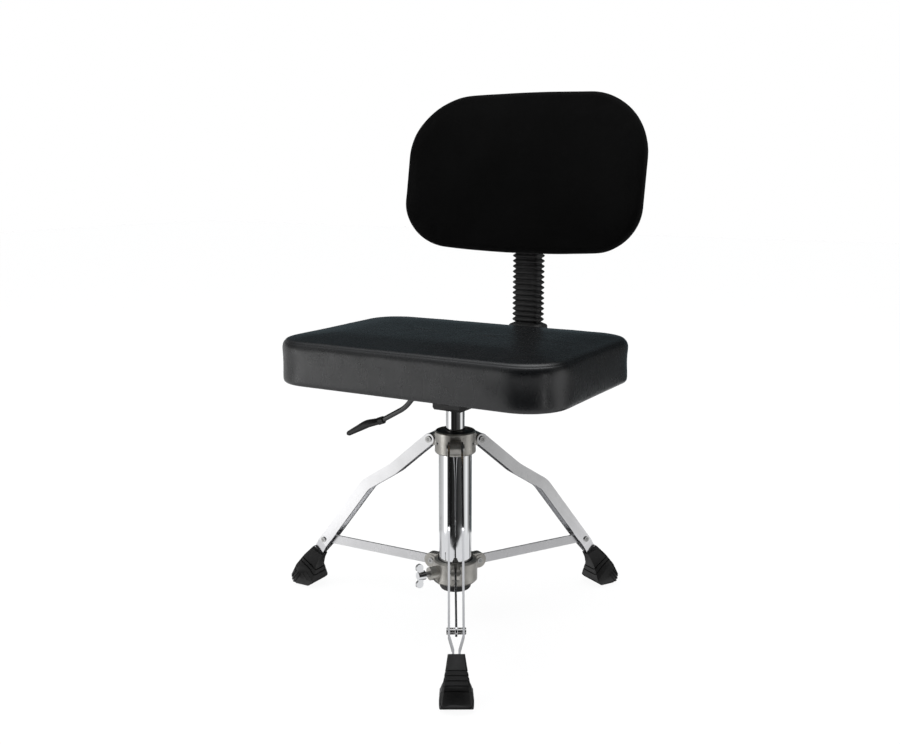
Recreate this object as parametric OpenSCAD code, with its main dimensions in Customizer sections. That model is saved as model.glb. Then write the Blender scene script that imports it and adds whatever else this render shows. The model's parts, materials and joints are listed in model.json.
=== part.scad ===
// Cello chair: a padded seat and backrest on a gas spring that stands in a folding tripod.
// Millimetres. +Z is up, the seat's front faces -Y, and the origin is on the floor
// at the middle of the column.

/* [Seat] */
// Width of the seat
seat_w = 460; // [400:5:520]
// Depth of the seat, front to back
seat_d = 320; // [290:5:400]
// Thickness of the padded seat, from the wrap under the board to the top's edge
seat_t = 64; // [52:1:80]
// Corner radius of the seat
seat_corner_r = 62; // [50:1:90]
// Height of the edge of the seat's top at its lowest setting
seat_low = 440; // [430:5:520]
// How far the middle of the seat's top stands above its edge
seat_crown = 6; // [3:0.5:10]
// How far the seat rises
lift_stroke = 120; // [80:5:130]
// Thickness of the seat's plywood board
board_t = 12; // [9:1:15]

/* [Backrest] */
// Width of the backrest
back_w = 420; // [380:5:480]
// Height of the backrest
back_h = 260; // [230:5:300]
// Thickness of the backrest, from its crown to the back of its shell
back_t = 46; // [42:1:55]
// Radius of the backrest's upper corners
back_top_r = 104; // [80:1:110]
// Radius of the backrest's lower corners
back_low_r = 72; // [60:1:100]
// How much the upper and lower edges fall away towards the sides
back_bow = 0.08; // [0:0.01:0.12]
// How far the sides come forward of the flat middle
back_wrap = 20; // [10:1:24]
// Width of that flat middle, where the bracket seats
back_flat = 70; // [66:1:100]
// How far the middle of the front stands before its edge, apart from that
back_crown = 8; // [4:0.5:12]
// Lean of the backrest
back_tilt = 10.5; // [5:0.5:15]
// Height of the backrest's middle, with the seat at its lowest
back_mid_z = 682; // [660:1:720]
// Place of the backrest's front face, behind the column
back_front_y = 208; // [195:1:230]
// Thickness of the backrest's plywood board
back_board_t = 9; // [6:1:12]
// Thickness of the backrest's moulded shell
shell_wall = 3; // [2:0.5:4]
// Thickness of the upholstery skin
skin = 2; // [1.5:0.25:3]

/* [Back arm] */
// Width of the flat steel bar that carries the backrest
arm_w = 30; // [25:1:36]
// Thickness of that bar
arm_t = 8; // [6:1:9]
// Radius of the bar's bend behind the seat, at its middle line
arm_bend_r = 40; // [30:1:50]
// How far the backrest slides up or down on the bar, each way
back_travel = 30; // [15:1:35]
// How far the bar slides in or out under the seat, each way
depth_travel = 25; // [10:1:25]
// Outer width of the bellows, at its pleats
bellows_w = 50; // [46:1:60]
// Outer depth of the bellows, at its pleats
bellows_d = 32; // [28:1:36]
// Depth of a pleat
pleat_depth = 4.5; // [3:0.5:5.5]
// Number of pleats
pleats = 13; // [11:1:15]
// Outer diameter of the hand knobs
knob_d = 42; // [34:1:50]

/* [Gas spring] */
// Outer diameter of the column
column_d = 50; // [46:1:54]
// Wall of the column
column_wall = 2; // [1.5:0.25:2.5]
// Height of the column's lower end above the floor
column_low = 52; // [45:1:60]
// Height of the column's upper end
column_top = 296; // [285:1:305]
// Diameter of the pressure tube
tube_d = 28; // [26:0.5:30]
// Wall of the pressure tube
tube_wall = 2; // [1.5:0.25:3]
// Diameter of the piston rod
rod_d = 10; // [8:0.5:12]
// Length of the guide bushing in the column
bushing_l = 70; // [50:1:80]

/* [Tripod] */
// How far the tripod is turned from the seat's front, where the photographed chair stands
tripod_turn = 30.5; // [0:0.5:60]
// How far below the column's upper end the legs' pins lie
pivot_drop = 14; // [10:1:20]
// Distance of those pins from the column's axis
pivot_r = 40.5; // [39:0.5:44]
// Depth of a leg bar
bar_depth = 18; // [15:1:20]
// Thickness of a leg bar
bar_t = 3; // [2.5:0.25:4]
// Distance between the middles of a leg's two bars
bar_spread = 19.5; // [18:0.5:24]
// The same distance where the bars are drawn together in the foot
bar_pinch = 8.4; // [7:0.2:11]
// Radius of the bends in a leg bar, at its middle line
leg_bend_r = 38; // [25:1:50]
// Depth of a brace
brace_depth = 15; // [12:1:16]
// Thickness of a brace
brace_t = 3; // [2.5:0.25:3.5]
// Height of the pins that the braces turn on, with the tripod open
brace_z = 86.5; // [82:0.5:92]
// Diameter of the rivets and pins in the tripod
pin_d = 6; // [5:0.5:7]

/* [Collars] */
// Outer diameter of the upper collar
upper_collar_d = 62; // [58:1:66]
// Height of the upper collar
upper_collar_h = 34; // [30:1:38]
// Outer diameter of the sliding lower collar
lower_collar_d = 68; // [64:1:70]
// Height of the lower collar's barrel
lower_collar_h = 35; // [30:1:40]
// Height of the lower collar's underside, with the tripod open
lower_collar_z = 61; // [60:1:64]
// Radius of the lower collar's lugs
lug_r = 12; // [10:0.5:14]
// Span of the wing screw's wings
wing_span = 38; // [30:1:46]

/* [Feet] */
// Height of a foot's rim above the floor, on its outer side
foot_h = 67; // [62:1:70]
// Width of a foot at its top
foot_top_w = 25; // [22:1:30]
// Width of a foot at its sole
foot_sole_w = 46; // [40:1:50]
// Radius of the sole's rocker
sole_r = 29; // [28:0.5:31]
// Depth of the grooves in a foot
groove = 1.4; // [0.8:0.2:2]

/* [Lever] */
// Diameter of the lever's rod
lever_d = 8; // [6:0.5:9]
// Length of the lever's grip
grip_l = 76; // [60:1:90]
// How far the lever lifts
lever_angle = 6; // [3:0.5:7]

/* [Hidden] */
// Running clearance on a radius, and the gap left beside a moving flat or a soft face
run = 0.05;
gap = 0.3;
big = 400;

// Heights of the seat's layers
seat_bottom = seat_low - seat_t;
board_z = seat_bottom + skin;
foam_z = board_z + board_t;
edge_z = seat_low;

// The mechanism hangs from the board
plate_t = 3;
plate_w = 190;
plate_d = 150;
plate_y = 25;
plate_z = board_z - plate_t;
pan_w = 46;
pan_wall = 3;
pan_front = -28;
pan_back = 132;
pan_drop = 43;
pan_low = seat_bottom - pan_drop;
pan_high = plate_z - 28;
bolt_x = 80;
bolt_y = 55;
bolt_d = 6;

// The pressure tube's taper sits in the socket
taper_l = 22;
tube_top = pan_low + taper_l;
tube_low = column_low + 28;
// The piston stays this far above the rod guide with the seat at its highest
head_play = 40;
head_z = tube_low + lift_stroke + head_play;
rod_top = head_z + 5;
taper = 0.6;
socket_l = tube_top - pan_low - 4;
socket_wall = 4;
valve_d = 6;
valve_z = tube_top + 6;

// The lever's rod lies on the valve pin
lever_z = valve_z + gap + lever_d / 2;
lever_x = -13;
lever_pin_d = 5;
// How far the rod moves up or down where it passes the pan's side
lever_swing = (pan_w / 2 + lever_x) * tan(lever_angle);
ear_t = 2.5;
ear_y = 9.5;
lever_knee_x = -54;
lever_bend_r = 15;
lever_slope = 50;
rod_drop = 55;
rod_elbow_r = 60;
rod_end_slope = 30;
rod_end_l = 50;
grip_slope = 21;

// The flat bar under the seat, behind it and behind the backrest
arm_z = plate_z - gap - arm_t / 2;
depth_knob_y = 112;
arm_inner_y = depth_knob_y - depth_travel - 25;
bracket_t = 3;
bracket_low_v = -60;
bracket_h = 92;
// Bar left beyond the bracket at each end of its slide
bar_spare = 10;
arm_w_off = back_t + bracket_t + gap + arm_t / 2;
arm_knee_v = bracket_low_v - back_travel - bar_spare;
arm_knee_r = 100;
arm_y = back_front_y + arm_w_off * cos(back_tilt) + arm_knee_v * sin(back_tilt);
arm_knee_z = back_mid_z - arm_w_off * sin(back_tilt) + arm_knee_v * cos(back_tilt);
arm_end_v = bracket_low_v + bracket_h + back_travel + bar_spare;
knob_v = bracket_low_v + 24;
screw_v = [-42, 14];
screw_u = 24;

// The bellows
bellows_low = arm_z + arm_bend_r + 1;
// The bellows ends a little way up behind the lower edge of the backrest's shell
bellows_lap = 6.5;
bellows_top = back_mid_z - back_t * sin(back_tilt) - back_h / 2 * cos(back_tilt) + bellows_lap;
cuff = 4;
// A wider skirt at its foot
skirt = 22;
skirt_flare = 6;
pleat_pitch = (bellows_top - bellows_low - skirt - cuff) / pleats;
bellows_wall = 1.6;

pivot_z = column_top - pivot_drop;
// The line of a leg, as distance from the column's axis and height: pin, two bends, end
high_bend_r = 106;
high_bend_z = 226;
low_bend_r = 158;
low_bend_z = 193;
leg_end_r = 269.5;
leg_end_z = 48.5;
high_bend = [high_bend_r, high_bend_z];
low_bend = [low_bend_r, low_bend_z];
leg_end = [leg_end_r, leg_end_z];
leg_line = [[pivot_r, pivot_z], high_bend, low_bend, leg_end];
leg_slope = atan2(low_bend.y - leg_end.y, leg_end.x - low_bend.x);
leg_run = norm(leg_end - low_bend);
// The rivet that joins a brace to its leg, and how it lies along the lowest stretch
rivet_r = 243;
rivet_z = brace_z - 0.5;
rivet_at = (rivet_r - low_bend.x) * cos(leg_slope) + (low_bend.y - rivet_z) * sin(leg_slope);
pinch_from = rivet_at + 7;
pinch_to = pinch_from + 19;
foot_from = pinch_to - 2;
pinch_r = 6;
end_play = 0.2;

brace_r = pivot_r - 0.5;
lug_t = 12;
tongue_t = bar_spread - bar_t - 2 * end_play;
legs = [0, 1, 2];
leg_turn = tripod_turn - 90;
boss_turn = leg_turn - 60;
boss_z = lower_collar_z + 18;
liner_wall = 2;

front = 0;
right = 1;
left = 2;

$fn = 48;
steel = [0.78, 0.79, 0.8];
cast = [0.62, 0.62, 0.6];
black = [0.07, 0.07, 0.08];
grey = [0.25, 0.25, 0.26];

// Flat band of constant width along a line, with a radius for the bend at each point

bend_steps = 8;
function dir(a) = [cos(a), sin(a)];
function side(a) = [-sin(a), cos(a)];
function heading(p, q) = atan2(q.y - p.y, q.x - p.x);
function wrap(a) = a > 180 ? a - 360 : a < -180 ? a + 360 : a;
function turn_at(line, i) =
    wrap(heading(line[i], line[i + 1]) - heading(line[i - 1], line[i]));
function setback(line, r, i) = r * tan(abs(turn_at(line, i)) / 2);
function bend_centre(line, r, i) =
    let (from = heading(line[i - 1], line[i]))
    line[i] - setback(line, r, i) * dir(from) + sign(turn_at(line, i)) * r * side(from);

// The line's points moved sideways by off, with steps round each bend
function edge_of(line, radii, off) = [
    line[0] + off * side(heading(line[0], line[1])),
    for (i = [1 : len(line) - 2], t = [0 : bend_steps])
        let (
            turn = turn_at(line, i),
            a = heading(line[i - 1], line[i]) + turn * t / bend_steps
        )
        bend_centre(line, radii[i], i) + (off - sign(turn) * radii[i]) * side(a),
    line[len(line) - 1] + off * side(heading(line[len(line) - 2], line[len(line) - 1]))
];

// Points of a half circle between its two ends
cap_steps = 16;
function cap(p, r, from) = [for (t = [1 : cap_steps - 1]) p + r * dir(from + 180 * t / cap_steps)];

module band(line, radii, width, round_start = false) {
    near = edge_of(line, radii, -width / 2);
    far = edge_of(line, radii, width / 2);
    polygon([
        each near,
        for (i = [len(far) - 1 : -1 : 0]) far[i],
        if (round_start) each cap(line[0], width / 2, heading(line[0], line[1]) + 90)
    ]);
}

// A straight band with both ends rounded
module link(p, q, width) {
    a = heading(p, q);
    r = width / 2;
    polygon([
        p - r * side(a), q - r * side(a), each cap(q, r, a - 90),
        q + r * side(a), p + r * side(a), each cap(p, r, a + 90)
    ]);
}

// Draws a flat shape given as (distance, height) upright, with its thickness along Y
module upright(thick) {
    rotate([90, 0, 0]) linear_extrude(thick, center = true) children();
}

// A cylinder that lies along Y
module cross_pin(d, long) {
    rotate([90, 0, 0]) cylinder(d = d, h = long, center = true);
}

module at_leg(k) {
    rotate([0, 0, leg_turn + 120 * k]) children();
}

// Padded forms: rings of points round an outline, closed by a fan at each end

corner_steps = 6;
corner_points = corner_steps + 1;
side_points = 2;
ring_points = 4 * (corner_points + side_points);

// Point i of a rounded rectangle, with its own radius for the upper and lower corners.
// Between two corners come the points of one side, drawn in a little from the straight.
function outline_point(w, h, top_r, low_r, draw, i) =
    let (
        quarter = floor(i / (corner_points + side_points)),
        step = i % (corner_points + side_points),
        r = quarter < 2 ? top_r : low_r,
        next_r = quarter == 0 || quarter == 3 ? top_r : low_r,
        sx = quarter == 0 || quarter == 3 ? 1 : -1,
        sy = quarter < 2 ? 1 : -1,
        a = 90 * (quarter + step / corner_steps)
    )
    step < corner_points
        ? [sx * (w / 2 - r), sy * (h / 2 - r)] + r * dir(a)
        : let (
            share = (step - corner_steps) / (side_points + 1),
            end = 90 * (quarter + 1),
            ex = quarter == 0 || quarter == 2 ? sx : -sx,
            ey = quarter == 0 || quarter == 2 ? -sy : sy,
            from = [sx * (w / 2 - r), sy * (h / 2 - r)] + r * dir(end),
            to = quarter == 0 ? [-(w / 2 - next_r), h / 2 - next_r] + next_r * dir(end)
                : quarter == 1 ? [-(w / 2 - low_r), -(h / 2 - low_r)] + low_r * dir(end)
                : quarter == 2 ? [w / 2 - low_r, -(h / 2 - low_r)] + low_r * dir(end)
                : [w / 2 - top_r, h / 2 - top_r] + top_r * dir(end)
        )
        from + share * (to - from) - draw * dir(end);

function inset_r(r, inset) = max(r - inset, 6);

// Triangles between two neighbouring rings of n points
function ring_walls(n, m) = [
    for (j = [0 : m - 2], i = [0 : n - 1])
        each let (k = (i + 1) % n)
            [[j * n + i, (j + 1) * n + i, (j + 1) * n + k],
             [j * n + i, (j + 1) * n + k, j * n + k]]
];

// Joins rings of equal length, the first and last closed to their middles
module ringed(rings) {
    n = len(rings[0]);
    m = len(rings);
    first = m * n;
    middle_low = (rings[0][0] + rings[0][floor(n / 2)]) / 2;
    middle_top = (rings[m - 1][0] + rings[m - 1][floor(n / 2)]) / 2;
    points = [for (ring = rings) each ring, middle_low, middle_top];
    faces = [
        each ring_walls(n, m),
        for (i = [0 : n - 1]) [first, i, (i + 1) % n],
        for (i = [0 : n - 1]) [first + 1, (m - 1) * n + (i + 1) % n, (m - 1) * n + i]
    ];
    polyhedron(points, faces);
}

// Closes a ring of the backrest with upright strips, so the face keeps its curve:
// each point of the upper side is joined to the one below it
strip_sum = ring_points - 1 + side_points;
strip_end = 2 * corner_points + 2 * side_points - 1;
strips = [
    for (j = [side_points + 1 : strip_end - 2])
        each [[j, j + 1, strip_sum - j - 1], [j, strip_sum - j - 1, strip_sum - j]],
    for (t = [strip_end : strip_sum - strip_end]) [strip_end - 1, t, t + 1],
    for (t = [0 : side_points + 1])
        [strip_sum - side_points - 1, (t + ring_points - 1) % ring_points, t]
];

// Joins rings of the backrest, the first and last closed with those strips
module wrapped_form(rings) {
    m = len(rings);
    last = (m - 1) * ring_points;
    faces = [
        each ring_walls(ring_points, m),
        each strips,
        for (s = strips) [last + s[2], last + s[1], last + s[0]]
    ];
    polyhedron([for (ring = rings) each ring], faces);
}

// Seat form. Each stage is how far it lies inside the outline, and its height.
seat_crown_stages = [20, 40, 72, 110];
function seat_crown_z(inset) =
    edge_z + seat_crown * (1 - pow(1 - min(inset / max(seat_crown_stages), 1), 2.5));
function seat_stages(low) = [
    if (low) [3, seat_bottom],
    if (low) [0.8, seat_bottom + 3.5],
    [0, seat_bottom + (low ? 11 : 14)],
    [1.2, (seat_bottom + edge_z) / 2],
    [0, edge_z - 13],
    [1.2, edge_z - 7],
    [4.2, edge_z - 2.4],
    [9, edge_z + 0.4],
    for (inset = seat_crown_stages) [inset, seat_crown_z(inset)]
];
function seat_ring(inset, z) = [
    for (i = [0 : ring_points - 1])
        let (
            r = inset_r(seat_corner_r, inset),
            p = outline_point(seat_w - 2 * inset, seat_d - 2 * inset, r, r, 1.5, i)
        )
        [p.x, p.y, z]
];

module seat_form(wall, low = true) {
    ringed([
        for (s = seat_stages(low))
            let (
                z = s[1] < (seat_bottom + edge_z) / 2
                    ? max(s[1], seat_bottom + wall) : s[1] - wall
            )
            seat_ring(s[0] + wall, low ? z : max(z, foam_z))
    ]);
}

module seat_prism(inset, z0, z1) {
    r = seat_corner_r - inset;
    x = seat_w / 2 - seat_corner_r;
    y = seat_d / 2 - seat_corner_r;
    translate([0, 0, z0]) linear_extrude(z1 - z0) {
        square([2 * x, seat_d - 2 * inset], center = true);
        square([seat_w - 2 * inset, 2 * y], center = true);
        for (sx = [-1, 1], sy = [-1, 1]) translate([sx * x, sy * y]) circle(r);
    }
}

// Backrest form, upright: X across, Z up, Y from the front of the crown to the rear
function bowed(p) =
    [p.x, p.y * (1 - back_bow * pow(p.x / (back_w / 2), 2))];
function wrapped(x) =
    back_wrap * pow(max(abs(x) - back_flat / 2, 0) / ((back_w - back_flat) / 2), 2);
function back_ring(inset, depth) = [
    for (i = [ring_points - 1 : -1 : 0])
        let (p = bowed(outline_point(back_w - 2 * inset, back_h - 2 * inset,
            inset_r(back_top_r, inset), inset_r(back_low_r, inset), 0, i)))
        [p.x, depth - wrapped(p.x), p.y]
];
back_pad_t = back_t - 14;
board_face = back_pad_t - skin - gap - back_board_t;
function back_crown_y(inset) =
    back_crown * pow(1 - min(inset / 120, 1), 2.5);
back_stages = [
    [90, back_crown_y(90)],
    [55, back_crown_y(55)],
    [28, back_crown_y(28)],
    [10, back_crown_y(10)],
    [3, back_crown + 1],
    [0.5, back_crown + 5],
    [0, (back_crown + back_pad_t) / 2 + 2],
    [1, back_pad_t - 3],
    [3, back_pad_t]
];
shell_stages = [
    [4, back_pad_t + gap / 2],
    [4.5, back_pad_t + 5],
    [9, back_t - 3.5],
    [18, back_t - 0.8],
    [32, back_t]
];

module back_form(wall, rear) {
    wrapped_form([
        for (s = back_stages)
            if (s[1] + wall < rear - wall || s[1] < back_pad_t - 6)
                back_ring(s[0] + wall, min(s[1] + wall, rear - wall)),
        back_ring(3 + wall, rear)
    ]);
}

module back_plate(inset, y0, y1) {
    wrapped_form([back_ring(inset, y0), back_ring(inset, y1)]);
}

module place_back() {
    translate([0, back_front_y, back_mid_z]) rotate([-back_tilt, 0, 0]) children();
}

// A hole or pin along the backrest's depth
module back_bore(u, v, d, y0, y1) {
    translate([u, y0, v]) rotate([-90, 0, 0]) cylinder(d = d, h = y1 - y0);
}

// Column and gas spring

module column_tube() {
    color(steel) difference() {
        translate([0, 0, column_low + 7]) cylinder(d = column_d, h = column_top - column_low - 7);
        translate([0, 0, column_low + 11])
            cylinder(d = column_d - 2 * column_wall, h = big);
        translate([0, 0, column_low]) cylinder(d = rod_d + 4 * run, h = big);
    }
}

module column_cap() {
    cap_d = column_d - 2;
    color(black) translate([0, 0, column_low - 3]) difference() {
        union() {
            cylinder(d1 = cap_d - 4, d2 = cap_d, h = 2.5);
            translate([0, 0, 2.5]) cylinder(d = cap_d, h = 7.5);
        }
        translate([0, 0, 1.5]) cylinder(d = cap_d - 12, h = big);
    }
}

module guide_bushing() {
    flange_d = upper_collar_d - 7;
    color(black) difference() {
        union() {
            translate([0, 0, column_top - bushing_l])
                cylinder(d = column_d - 2 * column_wall - 2 * run, h = bushing_l);
            translate([0, 0, column_top]) cylinder(d = flange_d, h = 1.6);
            translate([0, 0, column_top + 1.6]) cylinder(d1 = flange_d - 14, d2 = tube_d + 4, h = 1);
        }
        translate([0, 0, column_top - bushing_l - 1]) cylinder(d = tube_d + 2 * run, h = big);
    }
}

module thrust_race() {
    color(steel) translate([0, 0, column_low + 11]) difference() {
        cylinder(d = 22, h = 1.5);
        translate([0, 0, -1]) cylinder(d = rod_d + 4 * run, h = big);
    }
}

module thrust_balls() {
    ball_d = 3;
    ring_d = 16;
    z = column_low + 12.5 + gap / 10;
    color(steel) translate([0, 0, z]) {
        difference() {
            translate([0, 0, ball_d - 0.6]) cylinder(d = 22, h = 2);
            cylinder(d = rod_d + 2 * run, h = big);
        }
        for (i = [0 : 7]) rotate([0, 0, 45 * i]) translate([ring_d / 2, 0, ball_d / 2])
            sphere(d = ball_d);
    }
}

module piston_rod() {
    color(steel) difference() {
        translate([0, 0, column_low + 1]) cylinder(d = rod_d, h = rod_top - column_low - 1);
        translate([0, 0, column_low + 4.6]) difference() {
            cylinder(d = rod_d + 2, h = 1.6);
            translate([0, 0, -1]) cylinder(d = rod_d - 2, h = 4);
        }
    }
}

module rod_clip() {
    color(grey) translate([0, 0, column_low + 4.8]) difference() {
        cylinder(d = rod_d + 8, h = 1.2);
        translate([0, 0, -1]) cylinder(d = rod_d - 2 + 2 * run, h = 4);
        translate([0, -1.5, -1]) cube([rod_d, 3, 4]);
    }
}

module bump_stop() {
    color(black) translate([0, 0, column_low + 12.5 + gap / 10 + 4.4]) difference() {
        cylinder(d = rod_d + 12, h = 8);
        translate([0, 0, -1]) cylinder(d = rod_d + 2 * run, h = big);
    }
}

module piston_head() {
    color(steel) difference() {
        translate([0, 0, head_z])
            cylinder(d = tube_d - 2 * tube_wall - 2 * run, h = 12);
        translate([0, 0, head_z - 1]) cylinder(d = rod_d + 2 * run, h = 9);
        translate([0, 0, head_z + 4]) difference() {
            cylinder(d = tube_d, h = 3);
            cylinder(d = tube_d - 2 * tube_wall - 4, h = 3);
        }
    }
}

module pressure_tube() {
    color(steel) difference() {
        union() {
            translate([0, 0, tube_low]) cylinder(d = tube_d, h = pan_low - 6 - tube_low);
            translate([0, 0, pan_low - 6])
                cylinder(d1 = tube_d, d2 = tube_d - 2 * taper, h = tube_top - pan_low + 6);
        }
        translate([0, 0, tube_low - 1])
            cylinder(d = tube_d - 2 * tube_wall, h = pan_low - 8 - tube_low + 1);
        translate([0, 0, pan_low - 10]) cylinder(d = valve_d + 2 * run, h = big);
    }
}

module rod_guide() {
    color(grey) translate([0, 0, tube_low + 0.5]) difference() {
        cylinder(d = tube_d - 2 * tube_wall - 2 * run, h = 14);
        translate([0, 0, -1]) cylinder(d = rod_d + 2 * run, h = 16);
    }
}

module valve_pin() {
    color(steel) translate([0, 0, pan_low - 4]) cylinder(d = valve_d, h = valve_z - pan_low + 4);
}

// Mechanism under the seat

module taper_socket() {
    color(black) difference() {
        translate([0, 0, pan_low - 2])
            cylinder(d = tube_d + 2 * socket_wall, h = socket_l + 2);
        translate([0, 0, pan_low - 6])
            cylinder(d1 = tube_d + 2 * run, d2 = tube_d - 2 * taper + 2 * run,
                h = tube_top - pan_low + 6);
    }
}

// Side view of the pan: deep round the socket, shallow behind
module pan_profile(inset) {
    polygon([
        [pan_front + inset, plate_z],
        [pan_front + inset, pan_low + inset + 4 - inset / 2],
        [pan_front + 4 + inset / 2, pan_low + inset],
        [tube_d, pan_low + inset],
        [tube_d + 22, pan_high + inset],
        [pan_back - inset, pan_high + inset],
        [pan_back - inset, plate_z]
    ]);
}

module mechanism_pan() {
    slot_w = arm_w + 2 * gap;
    color(black) difference() {
        union() {
            translate([-plate_w / 2, plate_y - plate_d / 2, plate_z])
                cube([plate_w, plate_d, plate_t]);
            rotate([90, 0, 90]) linear_extrude(pan_w, center = true) pan_profile(0);
            translate([0, depth_knob_y, pan_high - 5]) cylinder(d = 18, h = 6);
        }
        rotate([90, 0, 90]) linear_extrude(pan_w - 2 * pan_wall, center = true)
            pan_profile(pan_wall);
        translate([0, 0, pan_low - 1])
            cylinder(d = tube_d + 2 * socket_wall + 2 * run, h = pan_wall + 4);
        translate([-slot_w / 2, pan_back - 10, arm_z - arm_t / 2 - gap])
            cube([slot_w, 20, arm_t + 2 * gap]);
        translate([-pan_w / 2 - 1, 0, lever_z]) rotate([0, 90, 0])
            cylinder(d = lever_d + 3 + 2 * lever_swing, h = pan_wall + 2);
        translate([0, depth_knob_y, pan_high - 6]) cylinder(d = 8 + 2 * run, h = 12);
        for (sx = [-1, 1], sy = [-1, 1])
            translate([sx * bolt_x, plate_y + sy * bolt_y, plate_z - 1])
                cylinder(d = bolt_d + 0.5, h = big);
    }
}

module mechanism_bolts() {
    color(steel)
        for (sx = [-1, 1], sy = [-1, 1])
            translate([sx * bolt_x, plate_y + sy * bolt_y, 0]) {
                translate([0, 0, plate_z]) cylinder(d = bolt_d, h = plate_t + board_t - 1);
                translate([0, 0, plate_z - 4]) cylinder(d = 10, h = 4, $fn = 6);
                translate([0, 0, plate_z - 0.6]) cylinder(d = 12, h = 0.6);
            }
}

module t_nuts() {
    color(steel)
        for (sx = [-1, 1], sy = [-1, 1])
            translate([sx * bolt_x, plate_y + sy * bolt_y, 0]) difference() {
                union() {
                    translate([0, 0, foam_z - 1]) cylinder(d = 19, h = 1);
                    translate([0, 0, foam_z - 9]) cylinder(d = 8, h = 8.5);
                }
                translate([0, 0, foam_z - 10]) cylinder(d = bolt_d + 2 * run, h = big);
            }
}

module lever_bracket() {
    color(black) translate([lever_x, 0, 0]) difference() {
        union() {
            for (s = [-1, 1]) translate([-4.5, s * ear_y - (s < 0 ? ear_t : 0), lever_z - 6])
                cube([10, ear_t, plate_z - lever_z + 6]);
            translate([-4.5, -ear_y - ear_t, plate_z - ear_t])
                cube([10, 2 * (ear_y + ear_t), ear_t]);
        }
        translate([0, 0, lever_z]) cross_pin(lever_pin_d + 2 * run, big);
    }
}

module lever_pin() {
    color(steel) translate([lever_x, 0, lever_z]) cross_pin(lever_pin_d, 2 * (ear_y + ear_t) + 3);
}

// The rod runs level over the valve pin, then down and out to the grip
lever_knee = [lever_knee_x, lever_z];
lever_elbow = lever_knee - rod_drop * dir(lever_slope);
lever_end = lever_elbow - rod_end_l * dir(rod_end_slope);
lever_line = [[valve_d / 2 + 1, lever_z], lever_knee, lever_elbow, lever_end];
tang_d = lever_d - 2;
tang_l = 24;

// A straight length of round rod between two points of a line upright along X
module rod_stretch(p, q, d) {
    translate([p.x, 0, p.y]) rotate([0, 90 - heading(p, q), 0])
        cylinder(d = d, h = norm(q - p));
}

// Bend of the rod, a hair thinner than its straights and lapped a little into both
module rod_bend(line, r, i, d) {
    lap = 2;
    turn = turn_at(line, i);
    start = heading(line[i - 1], line[i]) - sign(turn) * 90;
    centre = bend_centre(line, r, i);
    translate([centre.x, 0, centre.y]) rotate([90, 0, 0])
        rotate(min(start, start + turn) - lap)
            rotate_extrude(angle = abs(turn) + 2 * lap) translate([r, 0]) circle(d = d - 0.1);
}

// A thinner tang at the rod's end is what the grip is moulded on
module lever_rod() {
    knee_back = setback(lever_line, lever_bend_r, 1);
    elbow_back = setback(lever_line, rod_elbow_r, 2);
    color(steel) difference() {
        union() {
            rod_stretch(lever_line[0], lever_knee + [knee_back, 0], lever_d);
            rod_bend(lever_line, lever_bend_r, 1, lever_d);
            rod_stretch(lever_knee - knee_back * dir(lever_slope),
                lever_elbow + elbow_back * dir(lever_slope), lever_d);
            rod_bend(lever_line, rod_elbow_r, 2, lever_d);
            rod_stretch(lever_elbow - elbow_back * dir(rod_end_slope), lever_end, lever_d);
            rod_stretch(lever_end + 1.5 * dir(grip_slope), lever_end - tang_l * dir(grip_slope),
                tang_d);
            translate([lever_x, 0, lever_z]) cross_pin(lever_pin_d + 4, 2 * (ear_y - gap));
        }
        translate([lever_x, 0, lever_z]) cross_pin(lever_pin_d + 4 * run, big);
    }
}

// The grip has a collar round the rod, swells, and thins to a drooping tip
grip_round = 18;
module grip_bulge(at, droop, d, long, flat) {
    translate([-at, 0, droop]) scale([long, 1, flat]) sphere(d = d, $fn = grip_round);
}

module lever_grip() {
    neck = lever_end + 3 * dir(grip_slope);
    middle = grip_l * 0.42;
    color(black) difference() {
        translate([neck.x, 0, neck.y]) rotate([0, -grip_slope, 0]) {
            rotate([0, -90, 0]) cylinder(d = lever_d + 4, h = 10);
            hull() {
                grip_bulge(10, 0, lever_d + 6, 0.5, 0.75);
                grip_bulge(middle, 1.5, 20, 1.6, 0.62);
            }
            hull() {
                grip_bulge(middle, 1.5, 20, 1.6, 0.62);
                grip_bulge(grip_l - 4, -4, 14, 0.6, 0.6);
            }
        }
        rod_stretch(lever_end + 20 * dir(rod_end_slope), lever_end, lever_d + 2 * run);
        rod_stretch(lever_end + 1.5 * dir(grip_slope),
            lever_end - (tang_l + 1) * dir(grip_slope), tang_d + 2 * run);
    }
}

// Seat

module seat_board() {
    color([0.75, 0.62, 0.42]) difference() {
        seat_prism(skin + 5 + gap, board_z, foam_z);
        for (sx = [-1, 1], sy = [-1, 1])
            translate([sx * bolt_x, plate_y + sy * bolt_y, 0]) {
                translate([0, 0, board_z - 1]) cylinder(d = 8 + 2 * run, h = big);
                translate([0, 0, foam_z - 1]) cylinder(d = 19 + 2 * run, h = big);
            }
    }
}

module seat_foam() {
    color([0.85, 0.83, 0.7]) seat_form(skin + gap, low = false);
}

module seat_cover() {
    color(black) difference() {
        seat_form(0);
        seat_form(skin);
        seat_prism(30, seat_bottom - 1, seat_bottom + skin + 1);
    }
}

module dust_cover() {
    color(black) difference() {
        seat_prism(14, seat_bottom - 1, seat_bottom);
        translate([-plate_w / 2 - 4, plate_y - plate_d / 2 - 4, seat_bottom - 2])
            cube([plate_w + 8, plate_d + 8, 4]);
    }
}

// Back arm and bellows

arm_line = [
    [arm_inner_y, arm_z],
    [arm_y, arm_z],
    [arm_y, arm_knee_z],
    [arm_y + (arm_end_v - arm_knee_v) * sin(back_tilt),
        arm_knee_z + (arm_end_v - arm_knee_v) * cos(back_tilt)]
];

module back_arm() {
    color(black) rotate([90, 0, 90]) linear_extrude(arm_w, center = true)
        band(arm_line, [0, arm_bend_r, arm_knee_r, 0], arm_t);
}

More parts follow.
